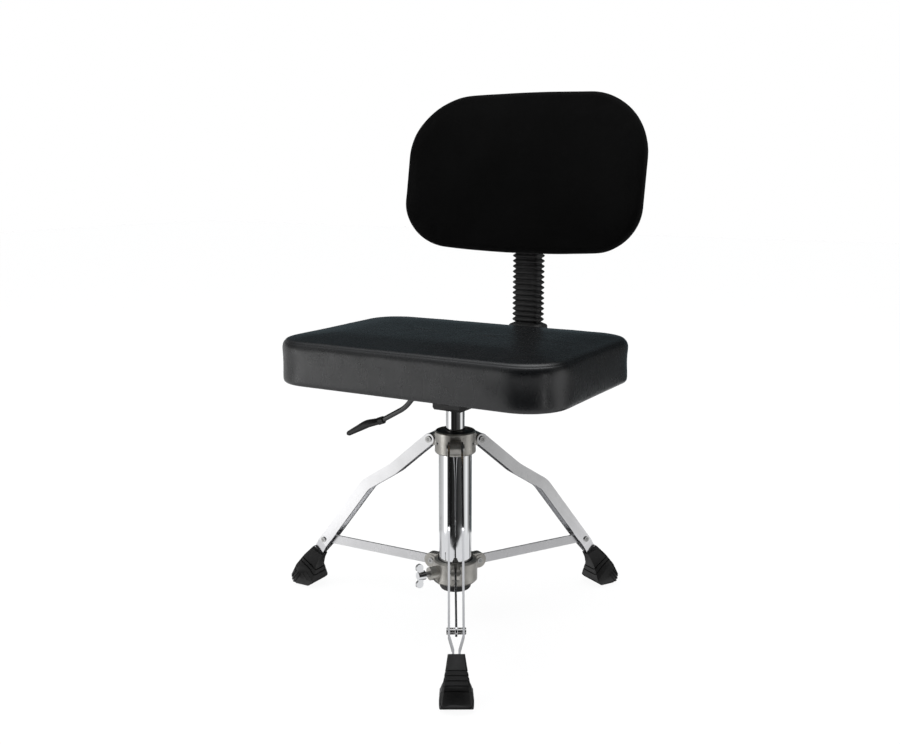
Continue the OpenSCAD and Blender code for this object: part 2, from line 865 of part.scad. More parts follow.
bellows_corner = 9;
bellows_steps = 4;
function bellows_ring(inset, z) = [
    for (i = [0 : 15])
        let (
            q = floor(i / 4),
            a = 90 * (q + (i % 4) / 3),
            r = max(bellows_corner - inset, 2),
            sx = q == 0 || q == 3 ? 1 : -1,
            sy = q < 2 ? 1 : -1
        )
        [sx * (bellows_w / 2 - inset - r) + r * cos(a),
         arm_y + sy * (bellows_d / 2 - inset - r) + r * sin(a), z]
];
function bellows_rings(wall) = [
    bellows_ring(wall - skirt_flare, bellows_low + wall),
    bellows_ring(wall - skirt_flare, bellows_low + skirt - 6),
    bellows_ring(wall - skirt_flare + 2, bellows_low + skirt - 4),
    bellows_ring(pleat_depth + wall, bellows_low + skirt),
    for (i = [0 : pleats - 1]) each [
        bellows_ring(wall, bellows_low + skirt + (i + 0.5) * pleat_pitch),
        bellows_ring(pleat_depth + wall, bellows_low + skirt + (i + 1) * pleat_pitch)
    ],
    bellows_ring(pleat_depth / 2 + wall, bellows_top - wall)
];

// Its ends are closed but for a slot that hugs the bar
module bellows() {
    color(grey) difference() {
        ringed(bellows_rings(0));
        ringed(bellows_rings(bellows_wall));
        translate([0, arm_y, bellows_low]) linear_extrude(big, center = true)
            square([arm_w + 2 * gap, arm_t + 2 * gap], center = true);
    }
}

// Hand knob with lobes, pointing along +Z, its stud's shoulder at the origin
module knob_body() {
    lobes = 6;
    difference() {
        union() {
            cylinder(d = knob_d * 0.42, h = 22);
            translate([0, 0, 8]) linear_extrude(14) {
                circle(d = knob_d * 0.72);
                for (i = [0 : lobes - 1]) rotate(i * 360 / lobes)
                    translate([knob_d / 2 - knob_d * 0.13, 0]) circle(d = knob_d * 0.26);
            }
        }
        translate([0, 0, -1]) cylinder(d = 8 + 2 * run, h = 15);
    }
}

module place_depth_knob() {
    translate([0, depth_knob_y, pan_high - 8]) rotate([180, 0, 0]) children();
}

module depth_knob() {
    color(black) place_depth_knob() knob_body();
}

module depth_stud() {
    reach = arm_z - arm_t / 2 - gap - (pan_high - 8);
    color(steel) place_depth_knob() translate([0, 0, -reach]) cylinder(d = 8, h = reach + 13);
}

// Backrest, drawn upright and then leaned back

module back_board() {
    color([0.75, 0.62, 0.42]) place_back() difference() {
        back_plate(6 + skin, board_face, board_face + back_board_t);
        for (u = [-screw_u, screw_u], v = screw_v)
            back_bore(u, v, 6, board_face - 1, back_t);
    }
}

module back_foam() {
    color([0.85, 0.83, 0.7]) place_back() back_form(skin + 2 * gap, board_face - gap);
}

module back_cover() {
    color(black) place_back() difference() {
        back_form(0, back_pad_t);
        back_form(skin, back_pad_t - skin);
        back_plate(28, back_pad_t - skin - 1, back_pad_t + 1);
    }
}

module back_shell() {
    color(black) place_back() difference() {
        wrapped_form([for (s = shell_stages) back_ring(s[0], s[1])]);
        wrapped_form([
            for (s = shell_stages)
                back_ring(s[0] + shell_wall, s[1] - (s[1] > back_pad_t + 6 ? shell_wall : 0)
                    - (s[1] < back_pad_t + 1 ? 1 : 0))
        ]);
        for (u = [-screw_u, screw_u], v = screw_v)
            back_bore(u, v, 7, back_pad_t, back_t + 1);
    }
}

// Sleeve that takes the flat bar, with a flange each side for the screws
module back_bracket() {
    inner_w = arm_w + 2 * gap;
    inner_t = arm_t + 2 * gap;
    outer_w = inner_w + 2 * bracket_t;
    base_w = 2 * screw_u + 18;
    color(black) place_back() difference() {
        union() {
            translate([-base_w / 2, back_t, bracket_low_v]) cube([base_w, bracket_t, bracket_h]);
            translate([-outer_w / 2, back_t, bracket_low_v + 6])
                cube([outer_w, inner_t + 2 * bracket_t, bracket_h - 12]);
            back_bore(0, knob_v, 18, back_t + inner_t + bracket_t, back_t + inner_t + 2 * bracket_t + 4);
        }
        translate([-inner_w / 2, back_t + bracket_t, bracket_low_v - 1])
            cube([inner_w, inner_t, bracket_h + 2]);
        back_bore(0, knob_v, 8 + 2 * run, back_t + inner_t, back_t + big);
        for (u = [-screw_u, screw_u], v = screw_v)
            back_bore(u, v, 5.6, back_t - 1, back_t + bracket_t + 1);
    }
}

module bracket_screws() {
    color(steel) place_back()
        for (u = [-screw_u, screw_u], v = screw_v) {
            back_bore(u, v, 5, board_face + 1, back_t + bracket_t);
            back_bore(u, v, 10, back_t + bracket_t, back_t + bracket_t + 3);
        }
}

knob_w_off = back_t + arm_t + 2 * gap + 2 * bracket_t + 4 + gap;

module place_height_knob() {
    place_back() translate([0, knob_w_off, knob_v]) rotate([-90, 0, 0]) children();
}

module height_knob() {
    color(black) place_height_knob() knob_body();
}

module height_stud() {
    reach = knob_w_off - (arm_w_off + arm_t / 2 + gap);
    color(steel) place_height_knob() translate([0, 0, -reach]) cylinder(d = 8, h = reach + 13);
}

// Tripod

upper_collar_top = column_top + 3;
upper_collar_low = upper_collar_top - upper_collar_h;

module upper_collar() {
    edge = 1.5;
    color(cast) difference() {
        union() {
            translate([0, 0, upper_collar_low])
                cylinder(d1 = upper_collar_d - 2 * edge, d2 = upper_collar_d, h = edge);
            translate([0, 0, upper_collar_low + edge])
                cylinder(d = upper_collar_d, h = upper_collar_h - 2 * edge);
            translate([0, 0, upper_collar_top - edge])
                cylinder(d1 = upper_collar_d, d2 = upper_collar_d - 2 * edge, h = edge);
            for (k = legs) at_leg(k) upright(tongue_t) {
                translate([pivot_r, pivot_z]) circle(8.5);
                translate([27, pivot_z - 8.5]) square([pivot_r - 27, 17]);
            }
        }
        translate([0, 0, upper_collar_low - 1]) cylinder(d = column_d + 2 * run, h = big);
        translate([0, 0, column_top]) cylinder(d = upper_collar_d - 6, h = big);
        for (k = legs) at_leg(k) translate([pivot_r, 0, pivot_z]) cross_pin(pin_d + 2 * run, big);
        for (k = legs) at_leg(k) rotate([0, 0, 60]) translate([0, 0, pivot_z])
            rotate([0, 90, 0]) cylinder(d = 6 + 2 * run, h = big);
    }
}

module collar_screws() {
    color(grey) for (k = legs) at_leg(k) rotate([0, 0, 60])
        translate([column_d / 2 + run, 0, pivot_z]) rotate([0, 90, 0]) difference() {
            cylinder(d = 6, h = (upper_collar_d - column_d) / 2 - 0.6);
            translate([0, 0, 2]) cylinder(d = 3.4, h = 9, $fn = 6);
        }
}

module rivet(long, head_d, head_h) {
    cross_pin(pin_d, long);
    for (s = [-1, 1]) translate([0, s * (long / 2 - head_h / 2), 0]) difference() {
        cross_pin(head_d, head_h);
        translate([0, s * head_h / 2, 0]) cross_pin(2.4, 1);
    }
}

module leg_pivot_pins() {
    head_h = 1.8;
    color(steel) for (k = legs) at_leg(k) translate([pivot_r, 0, pivot_z])
        rivet(bar_spread + bar_t + 2 * end_play + 2 * head_h, 10, head_h);
}

// Both bars of a leg: flat from the pin to the rivet, then drawn together into the foot.
// Each is the leg's side view cut by its view from above the lowest stretch.
module leg_bars(k) {
    color(steel) at_leg(k) difference() {
        for (s = [-1, 1]) intersection() {
            upright(4 * bar_spread)
                band(leg_line, [0, leg_bend_r, leg_bend_r, 0], bar_depth, round_start = true);
            translate([low_bend.x, 0, low_bend.y]) rotate([0, leg_slope, 0])
                linear_extrude(big, center = true)
                    band([[-big, s * bar_spread / 2], [pinch_from, s * bar_spread / 2],
                        [pinch_to, s * bar_pinch / 2], [leg_run + 1, s * bar_pinch / 2]],
                        [0, pinch_r, pinch_r, 0], bar_t);
        }
        translate([pivot_r, 0, pivot_z]) cross_pin(pin_d + 2 * run, big);
        translate([rivet_r, 0, rivet_z]) cross_pin(pin_d + 2 * run, big);
    }
}

// Stub rivets, one in each bar, with the collar that spaces the brace
module leg_rivets(k) {
    inner = brace_t / 2 + gap;
    face = bar_spread / 2 - bar_t / 2;
    outer = bar_spread / 2 + bar_t / 2 + 1.8;
    color(steel) at_leg(k) translate([rivet_r, 0, rivet_z]) for (s = [-1, 1]) {
        translate([0, s * (inner + outer) / 2, 0]) cross_pin(pin_d, outer - inner);
        translate([0, s * (outer - 0.9), 0]) cross_pin(9, 1.8);
        translate([0, s * (inner + face) / 2, 0]) cross_pin(9, face - inner);
    }
}

// Middle of the sole's rocker
foot_cx = leg_end.x + 14.5;
foot_below = 0.5;
groove_w = 2;
groove_first = 30;
groove_pitch = 6.6;
side_grooves = 2;
toe_grooves = 5;
treads = 3;
tread_first = 7;
tread_pitch = 5;
tread_l = 30;

// A foot's cross-sections, down from its rim: where the heel side lies, as distance from the
// sole's middle and height, where the toe side lies, and half the width at heel and toe
foot_stages = [
    [[-34.4, foot_h - 10.5], [-13, foot_h], 7.6, foot_top_w / 2],
    [[-29, 47], [3, 51.5], 9, foot_sole_w / 2 - 7],
    [[-24.5, 35], [17, 34], 12, foot_sole_w / 2 - 3],
    [[-24, 13], [26, 16], foot_sole_w / 2 - 1, foot_sole_w / 2],
    [[-24, -1], [26, -1], foot_sole_w / 2 - 1, foot_sole_w / 2]
];
// Half a cross-section, as share of the way from heel to toe and share of the width
foot_outline = [[0, 0], [0, 0.8], [0.03, 1], [0.72, 1], [0.82, 0.97], [0.93, 0.8], [0.98, 0.45], [1, 0]];
toe_tip = foot_stages[3][1];
toe_top = foot_stages[0][1];

function foot_ring(stage, inset) =
    let (
        heel = stage[0] + [foot_cx + inset, 0],
        toe = stage[1] + [foot_cx - inset, 0],
        last = len(foot_outline) - 1,
        half = [
            for (p = foot_outline)
                let (at = heel + (toe - heel) * p.x, w = stage[2] + (stage[3] - stage[2]) * p.x)
                [at.x, p.y * (w - inset), at.y]
        ]
    )
    [for (p = half) p, for (i = [last - 1 : -1 : 1]) [half[i].x, -half[i].y, half[i].z]];

// Half of the sole as seen from the toe, rounded up to its sides
sole_half = [[foot_sole_w / 2, foot_h + 1], [foot_sole_w / 2, 9], [foot_sole_w / 2 - 1, 5.5],
    [foot_sole_w / 2 - 4, 2], [foot_sole_w / 2 - 9, 0]];

// A foot's body, its sole rounded to roll a little, a flat patch in its middle
module foot_body(inset) {
    intersection() {
        ringed([for (stage = foot_stages) foot_ring(stage, inset)]);
        translate([foot_cx, 0, 0]) rotate([90, 0, 90]) linear_extrude(3 * foot_sole_w, center = true)
            polygon([
                for (p = sole_half) p,
                for (i = [len(sole_half) - 1 : -1 : 0]) [-sole_half[i].x, sole_half[i].y]
            ]);
        upright(2 * foot_sole_w) union() {
            intersection() {
                translate([foot_cx, sole_r - foot_below]) circle(sole_r - inset);
                translate([foot_cx - big / 2, 0]) square([big, toe_tip.y + 1]);
            }
            translate([foot_cx - big / 2, toe_tip.y]) square([big, big]);
        }
    }
}

// Line of the toe face, from its top to its tip, as an angle below level
toe_slope = atan2(toe_top.y - toe_tip.y, toe_tip.x - toe_top.x);

// A slab square to the leg's line, that far along the foot
module ring_slab(along) {
    translate([low_bend.x, 0, low_bend.y]) rotate([0, leg_slope, 0])
        translate([foot_from + along, 0, 0]) cube([groove_w, 2 * foot_sole_w, 3 * foot_h], center = true);
}

// A slab along the toe face, that far behind it
module tread_slab(behind) {
    translate([foot_cx + toe_tip.x, 0, toe_tip.y]) rotate([0, toe_slope, 0])
        translate([-tread_l / 10, 0, -behind])
            cube([tread_l, 2 * foot_sole_w, groove_w], center = true);
}

// Two grooves run round the foot, more cross its toe face, and the tread's rise from the sole
module foot(k) {
    mouth = (bar_spread + bar_t) / 2 + gap;
    pocket = (bar_pinch + bar_t) / 2 + 2 * run;
    deep = leg_run + 0.5;
    color(black) at_leg(k) difference() {
        foot_body(0);
        difference() {
            for (i = [0 : side_grooves - 1]) ring_slab(groove_first + i * groove_pitch);
            foot_body(groove);
        }
        difference() {
            for (i = [side_grooves : toe_grooves - 1])
                ring_slab(groove_first + i * groove_pitch);
            translate([-groove * sin(toe_slope), 0, -groove * cos(toe_slope)]) foot_body(0);
        }
        difference() {
            for (i = [0 : treads - 1]) tread_slab(tread_first + i * tread_pitch);
            foot_body(groove);
        }
        translate([low_bend.x, 0, low_bend.y]) rotate([0, leg_slope, 0])
            linear_extrude(bar_depth + 2 * run, center = true) polygon([
                [pinch_from, -mouth], [pinch_to + gap, -pocket], [deep, -pocket],
                [deep, pocket], [pinch_to + gap, pocket], [pinch_from, mouth]
            ]);
    }
}

module brace(k) {
    color(steel) at_leg(k) difference() {
        upright(brace_t) link([brace_r, brace_z], [rivet_r, rivet_z], brace_depth);
        translate([brace_r, 0, brace_z]) cross_pin(pin_d + 2 * run, big);
    }
}

module lower_collar() {
    boss_d = 20;
    boss_r = 46;
    color(cast) difference() {
        union() {
            translate([0, 0, lower_collar_z + 3])
                cylinder(d = lower_collar_d, h = lower_collar_h - 5);
            translate([0, 0, lower_collar_z])
                cylinder(d1 = lower_collar_d - 6, d2 = lower_collar_d, h = 3);
            translate([0, 0, lower_collar_z + lower_collar_h - 2])
                cylinder(d1 = lower_collar_d, d2 = lower_collar_d - 4, h = 2);
            for (k = legs) at_leg(k) {
                upright(lug_t) {
                    translate([brace_r, brace_z]) circle(lug_r);
                    translate([28, brace_z - lug_r]) square([brace_r - 28, 2 * lug_r]);
                }
                translate([brace_r, 0, brace_z]) cross_pin(2 * lug_r - 6, lug_t + 2);
            }
            rotate([0, 0, boss_turn]) {
                translate([28, 0, boss_z]) rotate([0, 90, 0])
                    cylinder(d = boss_d, h = boss_r - 28);
                upright(boss_d * 0.7) polygon([
                    [28, lower_collar_z], [lower_collar_d / 2 - 2, lower_collar_z],
                    [boss_r - 2, boss_z - 2], [28, boss_z]
                ]);
            }
        }
        translate([0, 0, lower_collar_z - 1])
            cylinder(d = column_d + 2 * liner_wall + 4 * run, h = big);
        for (k = legs) at_leg(k) {
            translate([brace_r - brace_depth / 2 - 1.2, -brace_t / 2 - gap, lower_collar_z - 1])
                cube([40, brace_t + 2 * gap, big]);
            translate([brace_r, 0, brace_z]) cross_pin(pin_d + 2 * run, big);
        }
        rotate([0, 0, boss_turn]) translate([20, 0, boss_z]) rotate([0, 90, 0])
            cylinder(d = 8 + 2 * run, h = big);
    }
}

module collar_liner() {
    color(grey) difference() {
        translate([0, 0, lower_collar_z]) cylinder(d = column_d + 2 * liner_wall, h = lower_collar_h);
        translate([0, 0, lower_collar_z - 1]) cylinder(d = column_d + 4 * run, h = big);
        rotate([0, 0, boss_turn]) translate([20, 0, boss_z]) rotate([0, 90, 0])
            cylinder(d = 8 + 2 * run, h = 20);
    }
}

module brace_pins() {
    color(steel) for (k = legs) at_leg(k) translate([brace_r, 0, brace_z])
        rivet(lug_t + 2 + 3, 9, 1.5);
}

module place_wing() {
    rotate([0, 0, boss_turn]) translate([0, 0, boss_z]) rotate([0, 90, 0]) children();
}

wing_r = 54;

module wing_stud() {
    color(steel) place_wing() translate([0, 0, column_d / 2 + gap])
        cylinder(d = 8, h = wing_r + 8 - column_d / 2);
}

module wing_head() {
    color(steel) place_wing() difference() {
        union() {
            translate([0, 0, wing_r]) cylinder(d1 = 14, d2 = 12, h = 12);
            for (s = [-1, 1]) scale([s, 1, 1]) rotate([90, 0, 0])
                linear_extrude(4, center = true) {
                    polygon([[0, wing_r + 1], [wing_span / 2 - 6, wing_r + 4],
                        [wing_span / 2 - 3, wing_r + 13], [0, wing_r + 10]]);
                    translate([wing_span / 2 - 6, wing_r + 9]) circle(6);
                }
        }
        translate([0, 0, wing_r - 1]) cylinder(d = 8 + 2 * run, h = 10);
    }
}

column_tube();
column_cap();
upper_collar();
collar_screws();
guide_bushing();
leg_pivot_pins();
thrust_race();
piston_rod();
piston_head();
bump_stop();
thrust_balls();
rod_clip();
pressure_tube();
rod_guide();
valve_pin();
taper_socket();
mechanism_pan();
mechanism_bolts();
t_nuts();
lever_bracket();
lever_pin();
lever_rod();
lever_grip();
seat_board();
seat_foam();
seat_cover();
dust_cover();
back_arm();
bellows();
depth_knob();
depth_stud();
back_board();
back_foam();
back_cover();
back_shell();
back_bracket();
bracket_screws();
height_knob();
height_stud();
lower_collar();
collar_liner();
brace_pins();
wing_head();
wing_stud();
leg_bars(front);  // leg_front_bars
leg_bars(right);  // leg_right_bars
leg_bars(left);  // leg_left_bars
leg_rivets(front);  // leg_front_rivets
leg_rivets(right);  // leg_right_rivets
leg_rivets(left);  // leg_left_rivets
foot(front);  // foot_front
foot(right);  // foot_right
foot(left);  // foot_left
brace(front);  // brace_front
brace(right);  // brace_right
brace(left);  // brace_left
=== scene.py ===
"""Looks of the cello chair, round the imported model. Metres, +Z up, the seat's front at -Y."""

import json
import math

import bmesh
import bpy
from mathutils import Matrix, Vector, kdtree, noise

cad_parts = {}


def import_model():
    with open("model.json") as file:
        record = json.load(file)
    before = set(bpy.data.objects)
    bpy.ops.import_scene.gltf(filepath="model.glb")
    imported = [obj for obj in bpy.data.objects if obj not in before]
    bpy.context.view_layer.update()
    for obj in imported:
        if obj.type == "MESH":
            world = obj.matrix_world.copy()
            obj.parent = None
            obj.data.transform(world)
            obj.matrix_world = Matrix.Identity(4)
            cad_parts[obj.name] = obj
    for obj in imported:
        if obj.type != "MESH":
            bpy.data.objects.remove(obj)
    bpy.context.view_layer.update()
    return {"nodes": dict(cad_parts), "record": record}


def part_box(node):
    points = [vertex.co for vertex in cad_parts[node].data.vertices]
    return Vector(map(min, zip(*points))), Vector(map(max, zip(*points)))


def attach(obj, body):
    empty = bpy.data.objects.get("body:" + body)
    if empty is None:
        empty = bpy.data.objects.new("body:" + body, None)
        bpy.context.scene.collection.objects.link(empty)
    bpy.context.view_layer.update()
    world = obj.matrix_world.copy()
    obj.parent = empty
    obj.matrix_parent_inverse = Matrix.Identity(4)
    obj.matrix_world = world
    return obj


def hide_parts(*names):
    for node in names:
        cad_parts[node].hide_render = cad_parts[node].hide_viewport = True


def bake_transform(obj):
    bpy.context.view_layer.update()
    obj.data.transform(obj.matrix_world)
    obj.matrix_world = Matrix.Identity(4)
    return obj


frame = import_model()
BODY = {
    node: body
    for body, nodes in frame["record"]["behaviour"]["bodies"].items()
    for node in nodes
}
SLOT = {s["node"]: s["material_slot"] for s in frame["record"]["subparts"]}
MM = 0.001
UP = Vector((0, 0, 1))
LEGS = ("front", "right", "left")


# Materials

# A Mix node has sockets for every kind of data. These are the ones for colours
MIX_INPUTS, MIX_OUTPUT = (0, 6, 7), 2


class Nodes:
    """A node tree with short calls for its texture, colour and maths nodes."""

    def __init__(self, tree):
        self.tree = tree
        self.coords = None

    def feed(self, socket, value):
        """Links another node's output to the socket, or sets a plain value on it."""
        if isinstance(value, bpy.types.NodeSocket):
            self.tree.links.new(value, socket)
        else:
            socket.default_value = value

    def new(self, kind, **inputs):
        node = self.tree.nodes.new(kind)
        for name, value in inputs.items():
            self.feed(node.inputs[name.replace("_", " ")], value)
        return node

    def place(self, scale=(1, 1, 1), turn=(0, 0, 0)):
        """Object coordinates in metres, scaled and turned."""
        if self.coords is None:
            self.coords = self.new("ShaderNodeTexCoord").outputs["Object"]
        node = self.new("ShaderNodeMapping", Vector=self.coords, Scale=scale, Rotation=turn)
        return node.outputs["Vector"]

    def noise(self, scale, detail=3.0, rough=0.55, vector=None):
        node = self.new(
            "ShaderNodeTexNoise",
            Vector=vector or self.place(),
            Scale=scale,
            Detail=detail,
            Roughness=rough,
        )
        return node.outputs["Fac"]

    def cells(self, scale, feature="DISTANCE_TO_EDGE"):
        node = self.new("ShaderNodeTexVoronoi", Vector=self.place(), Scale=scale)
        node.feature = feature
        return node.outputs["Distance"]

    def bands(self, axis, scale, distortion, vector=None):
        node = self.new(
            "ShaderNodeTexWave",
            Vector=vector or self.place(),
            Scale=scale,
            Distortion=distortion,
        )
        node.bands_direction = axis
        return node.outputs["Fac"]

    def ramp(self, value, stops):
        """Turns a value into a colour. Each stop is a value with its colour or grey."""
        node = self.new("ShaderNodeValToRGB", Fac=value)
        ramp = node.color_ramp
        while len(ramp.elements) < len(stops):
            ramp.elements.new(0.5)
        for element, (at, colour) in zip(ramp.elements, stops):
            element.position = at
            if not hasattr(colour, "__len__"):
                colour = (colour,) * 3
            element.color = (*colour, 1)
        return node.outputs["Color"]

    def maths(self, how, a, b=0.0, c=0.0):
        node = self.new("ShaderNodeMath")
        node.operation = how
        for socket, value in zip(node.inputs, (a, b, c)):
            self.feed(socket, value)
        return node.outputs[0]

    def mix(self, how, factor, a, b):
        node = self.new("ShaderNodeMix")
        node.data_type = "RGBA"
        node.blend_type = how
        for index, value in zip(MIX_INPUTS, (factor, a, b)):
            self.feed(node.inputs[index], value)
        return node.outputs[MIX_OUTPUT]

    def bump(self, height, depth, strength, normal=None):
        """Normal of a height that is depth metres deep, laid over another normal if given."""
        node = self.new("ShaderNodeBump", Height=height, Strength=strength, Distance=depth)
        if normal is not None:
            self.feed(node.inputs["Normal"], normal)
        return node.outputs["Normal"]


class Shader(Nodes):
    """The node tree of a new material, round its Principled shader."""

    def __init__(self, name):
        self.mat = bpy.data.materials.new(name)
        self.mat.use_nodes = True
        super().__init__(self.mat.node_tree)
        self.bsdf = self.tree.nodes["Principled BSDF"]

    def set(self, **inputs):
        for name, value in inputs.items():
            if isinstance(value, tuple):
                value = (*value, 1)
            self.feed(self.bsdf.inputs[name.replace("_", " ")], value)


def shades(tint, dark):
    """Stops from a darker shade of the tint up to the tint."""
    return [(0.3, [c * dark for c in tint]), (0.7, tint)]


def chrome(name, clean, smudged):
    """Bright chrome with a slow wave. Clean and smudged are its least and most roughness."""
    s = Shader(name)
    smudge = s.noise(38, 4, 0.6)
    wave = s.noise(14, 2)
    s.set(
        Base_Color=s.ramp(smudge, shades((0.86, 0.87, 0.88), 0.97)),
        Metallic=1.0,
        Roughness=s.ramp(smudge, [(0.35, clean), (0.75, smudged)]),
        Normal=s.bump(wave, 0.0006, 0.25),
    )
    return s.mat


def plated(name, tint, rough):
    """Bright zinc on rolled bar: fine drawn lines with cloudy patches."""
    s = Shader(name)
    lines = s.noise(900, 3, 0.6, s.place((1, 1, 0.06)))
    cloud = s.noise(26, 4, 0.6)
    both = s.maths("MULTIPLY_ADD", lines, 0.35, s.maths("MULTIPLY", cloud, 0.65))
    s.set(
        Base_Color=s.ramp(cloud, shades(tint, 0.9)),
        Metallic=1.0,
        Roughness=s.ramp(both, [(0.3, rough * 0.75), (0.7, rough * 1.3)]),
        Normal=s.bump(lines, 0.00004, 0.5),
    )
    return s.mat


def cast_metal(name):
    """A tumbled casting: fine sandy skin with cloudy patches."""
    s = Shader(name)
    skin = s.noise(420, 4, 0.6)
    cloud = s.noise(60, 3)
    s.set(
        Base_Color=s.ramp(cloud, [(0.3, (0.46, 0.445, 0.41)), (0.7, (0.60, 0.585, 0.545))]),
        Metallic=s.ramp(cloud, [(0.3, 0.6), (0.7, 0.75)]),
        Roughness=s.ramp(skin, [(0.3, 0.26), (0.7, 0.38)]),
        Normal=s.bump(skin, 0.00012, 0.6),
    )
    return s.mat


def steel(name, tint, rough):
    """Plain turned or pressed steel."""
    s = Shader(name)
    lines = s.noise(700, 3, 0.6)
    s.set(
        Base_Color=s.ramp(lines, shades(tint, 0.85)),
        Metallic=1.0,
        Roughness=s.ramp(lines, [(0.3, rough * 0.8), (0.7, rough * 1.25)]),
        Normal=s.bump(lines, 0.00003, 0.4),
    )
    return s.mat


def powder_coat(name, tint):
    """Black powder coat: orange peel under thin dust."""
    s = Shader(name)
    peel = s.noise(650, 3, 0.5)
    dust = s.noise(18, 5, 0.65)
    s.set(
        Base_Color=s.ramp(dust, [(0.35, tint * 0.8), (0.75, tint * 1.5)]),
        Roughness=s.ramp(dust, [(0.3, 0.357), (0.75, 0.504)]),
        Normal=s.bump(peel, 0.00008, 0.5),
    )
    return s.mat


def moulded(name, tint, rough, grain=900, depth=0.00006):
    """Moulded plastic with a pitted grain."""
    s = Shader(name)
    pits = s.cells(grain, "F1")
    cloud = s.noise(22, 4, 0.6)
    s.set(
        Base_Color=s.ramp(cloud, [(0.3, tint * 0.8), (0.75, tint * 1.35)]),
        Roughness=s.ramp(cloud, [(0.3, rough * 0.9), (0.75, rough * 1.15)]),
        Normal=s.bump(pits, depth, 0.6),
    )
    return s.mat


def rubber(name, tint, shine=0.5):
    """Rubber with a fine tooth and pale bloom in patches."""
    s = Shader(name)
    fine = s.noise(800, 4, 0.6)
    bloom = s.noise(45, 5, 0.7)
    s.set(
        Base_Color=s.ramp(bloom, [(0.35, tint * 0.6), (0.6, tint), (0.8, tint * 1.7)]),
        Roughness=s.ramp(bloom, [(0.3, 0.42), (0.75, 0.6)]),
        Specular_IOR_Level=shine,
        Normal=s.bump(fine, 0.00010, 0.5),
    )
    return s.mat


def vinyl(name):
    """Black upholstery vinyl: fine pebble grain, a satin face and faint stretch lines."""
    s = Shader(name)
    pebble = s.ramp(s.cells(760), [(0.0, 0.0), (0.12, 0.75), (0.5, 1.0)])
    fold = s.noise(60, 4, 0.55, s.place((1, 1, 0.5)))
    cloud = s.noise(7, 3)
    s.set(
        Base_Color=s.ramp(cloud, [(0.3, (0.0085, 0.0095, 0.0105)), (0.7, (0.013, 0.014, 0.0155))]),
        Roughness=s.ramp(fold, [(0.3, 0.25), (0.7, 0.29)]),
        Specular_IOR_Level=0.6,
        Coat_Weight=0.12,
        Coat_Roughness=0.3,
        Normal=s.bump(fold, 0.0003, 0.08, s.bump(pebble, 0.00010, 0.45)),
    )
    return s.mat


def weave(name):
    """Flat black upholstery cloth: crossing threads with a little lint."""
    s = Shader(name)
    skewed = s.place(turn=(0, 0, math.radians(2)))
    warp, weft = (s.bands(axis, 620.0, 1.2, skewed) for axis in "XZ")
    cloud = s.ramp(s.noise(9, 3), [(0.3, 0.0032), (0.7, 0.0052)])
    lint = s.ramp(s.noise(520, 5, 0.75), [(0.60, 0.0), (0.80, 0.006)])
    s.set(
        Base_Color=s.mix("ADD", 1.0, cloud, lint),
        Roughness=0.95,
        Specular_IOR_Level=0.07,
        Sheen_Weight=0.025,
        Sheen_Roughness=0.5,
        Normal=s.bump(s.maths("MAXIMUM", warp, weft), 0.00018, 0.6),
    )
    return s.mat


def soft_cloth(name, tint):
    """Matted fibres: the cloth under the seat, and the foam's open skin."""
    s = Shader(name)
    web = s.noise(700, 5, 0.8, s.place((1, 1.8, 1)))
    s.set(
        Base_Color=s.ramp(web, [(0.35, tint * 0.6), (0.7, tint * 2)]),
        Roughness=0.95,
        Normal=s.bump(web, 0.0002, 0.7),
    )
    return s.mat


def plywood(name):
    s = Shader(name)
    grain = s.noise(55, 6, 0.6, s.place((0.12, 1.6, 1)))
    plies = s.bands("Z", 110.0, 0.4)
    both = s.maths("MULTIPLY_ADD", plies, 0.3, s.maths("MULTIPLY", grain, 0.8))
    s.set(
        Base_Color=s.ramp(both, [(0.3, (0.42, 0.27, 0.14)), (0.7, (0.68, 0.50, 0.30))]),
        Roughness=s.ramp(grain, [(0.3, 0.5), (0.7, 0.65)]),
        Normal=s.bump(grain, 0.0001, 0.5),
    )
    return s.mat


# Each slot's name and maker, with what the maker takes after the name
MATERIALS = {
    slot: make(slot, *values)
    for slot, make, *values in (
        ("chrome_column", chrome, 0.02, 0.06),
        ("chrome_tube", chrome, 0.035, 0.10),
        ("cast_collar", cast_metal),
        ("leg_steel", plated, (0.86, 0.86, 0.87), 0.15),
        ("brace_steel", plated, (0.70, 0.70, 0.71), 0.24),
        ("rivet_steel", steel, (0.55, 0.55, 0.54), 0.3),
        ("inner_steel", steel, (0.5, 0.5, 0.5), 0.35),
        ("black_steel", powder_coat, 0.013),
        ("dark_rod", steel, (0.10, 0.10, 0.10), 0.32),
        ("black_plastic", moulded, 0.018, 0.42),
        ("shell_plastic", moulded, 0.014, 0.5, 700, 0.0001),
        ("liner_plastic", moulded, 0.05, 0.5),
        ("foot_rubber", rubber, 0.0042, 0.6),
        ("bump_rubber", rubber, 0.02),
        ("bellows_rubber", rubber, 0.045),
        ("plywood", plywood),
        ("foam", soft_cloth, 0.4),
        ("seat_vinyl", vinyl),
        ("back_fabric", weave),
        ("dust_cloth", soft_cloth, 0.012),
    )
}


def finish_with(obj, slot):
    obj.data.materials.clear()
    obj.data.materials.append(MATERIALS[slot])


# Pieces

# Points of one mesh that are this close are one point, in the scene's and in the CAD's meshes
SAME, SAME_CAD = 1e-6, 2e-6


def new_object(name, data):
    obj = bpy.data.objects.new(name, data)
    bpy.context.scene.collection.objects.link(obj)
    return obj


def edit(mesh, *steps):
    """Takes the mesh through the steps, each of which changes a bmesh."""
    bm = bmesh.new()
    bm.from_mesh(mesh)
    for step in steps:
        step(bm)
    bm.to_mesh(mesh)
    bm.free()


def weld(bm):
    bmesh.ops.remove_doubles(bm, verts=bm.verts, dist=SAME)


def face_out(bm):
    bmesh.ops.recalc_face_normals(bm, faces=bm.faces)


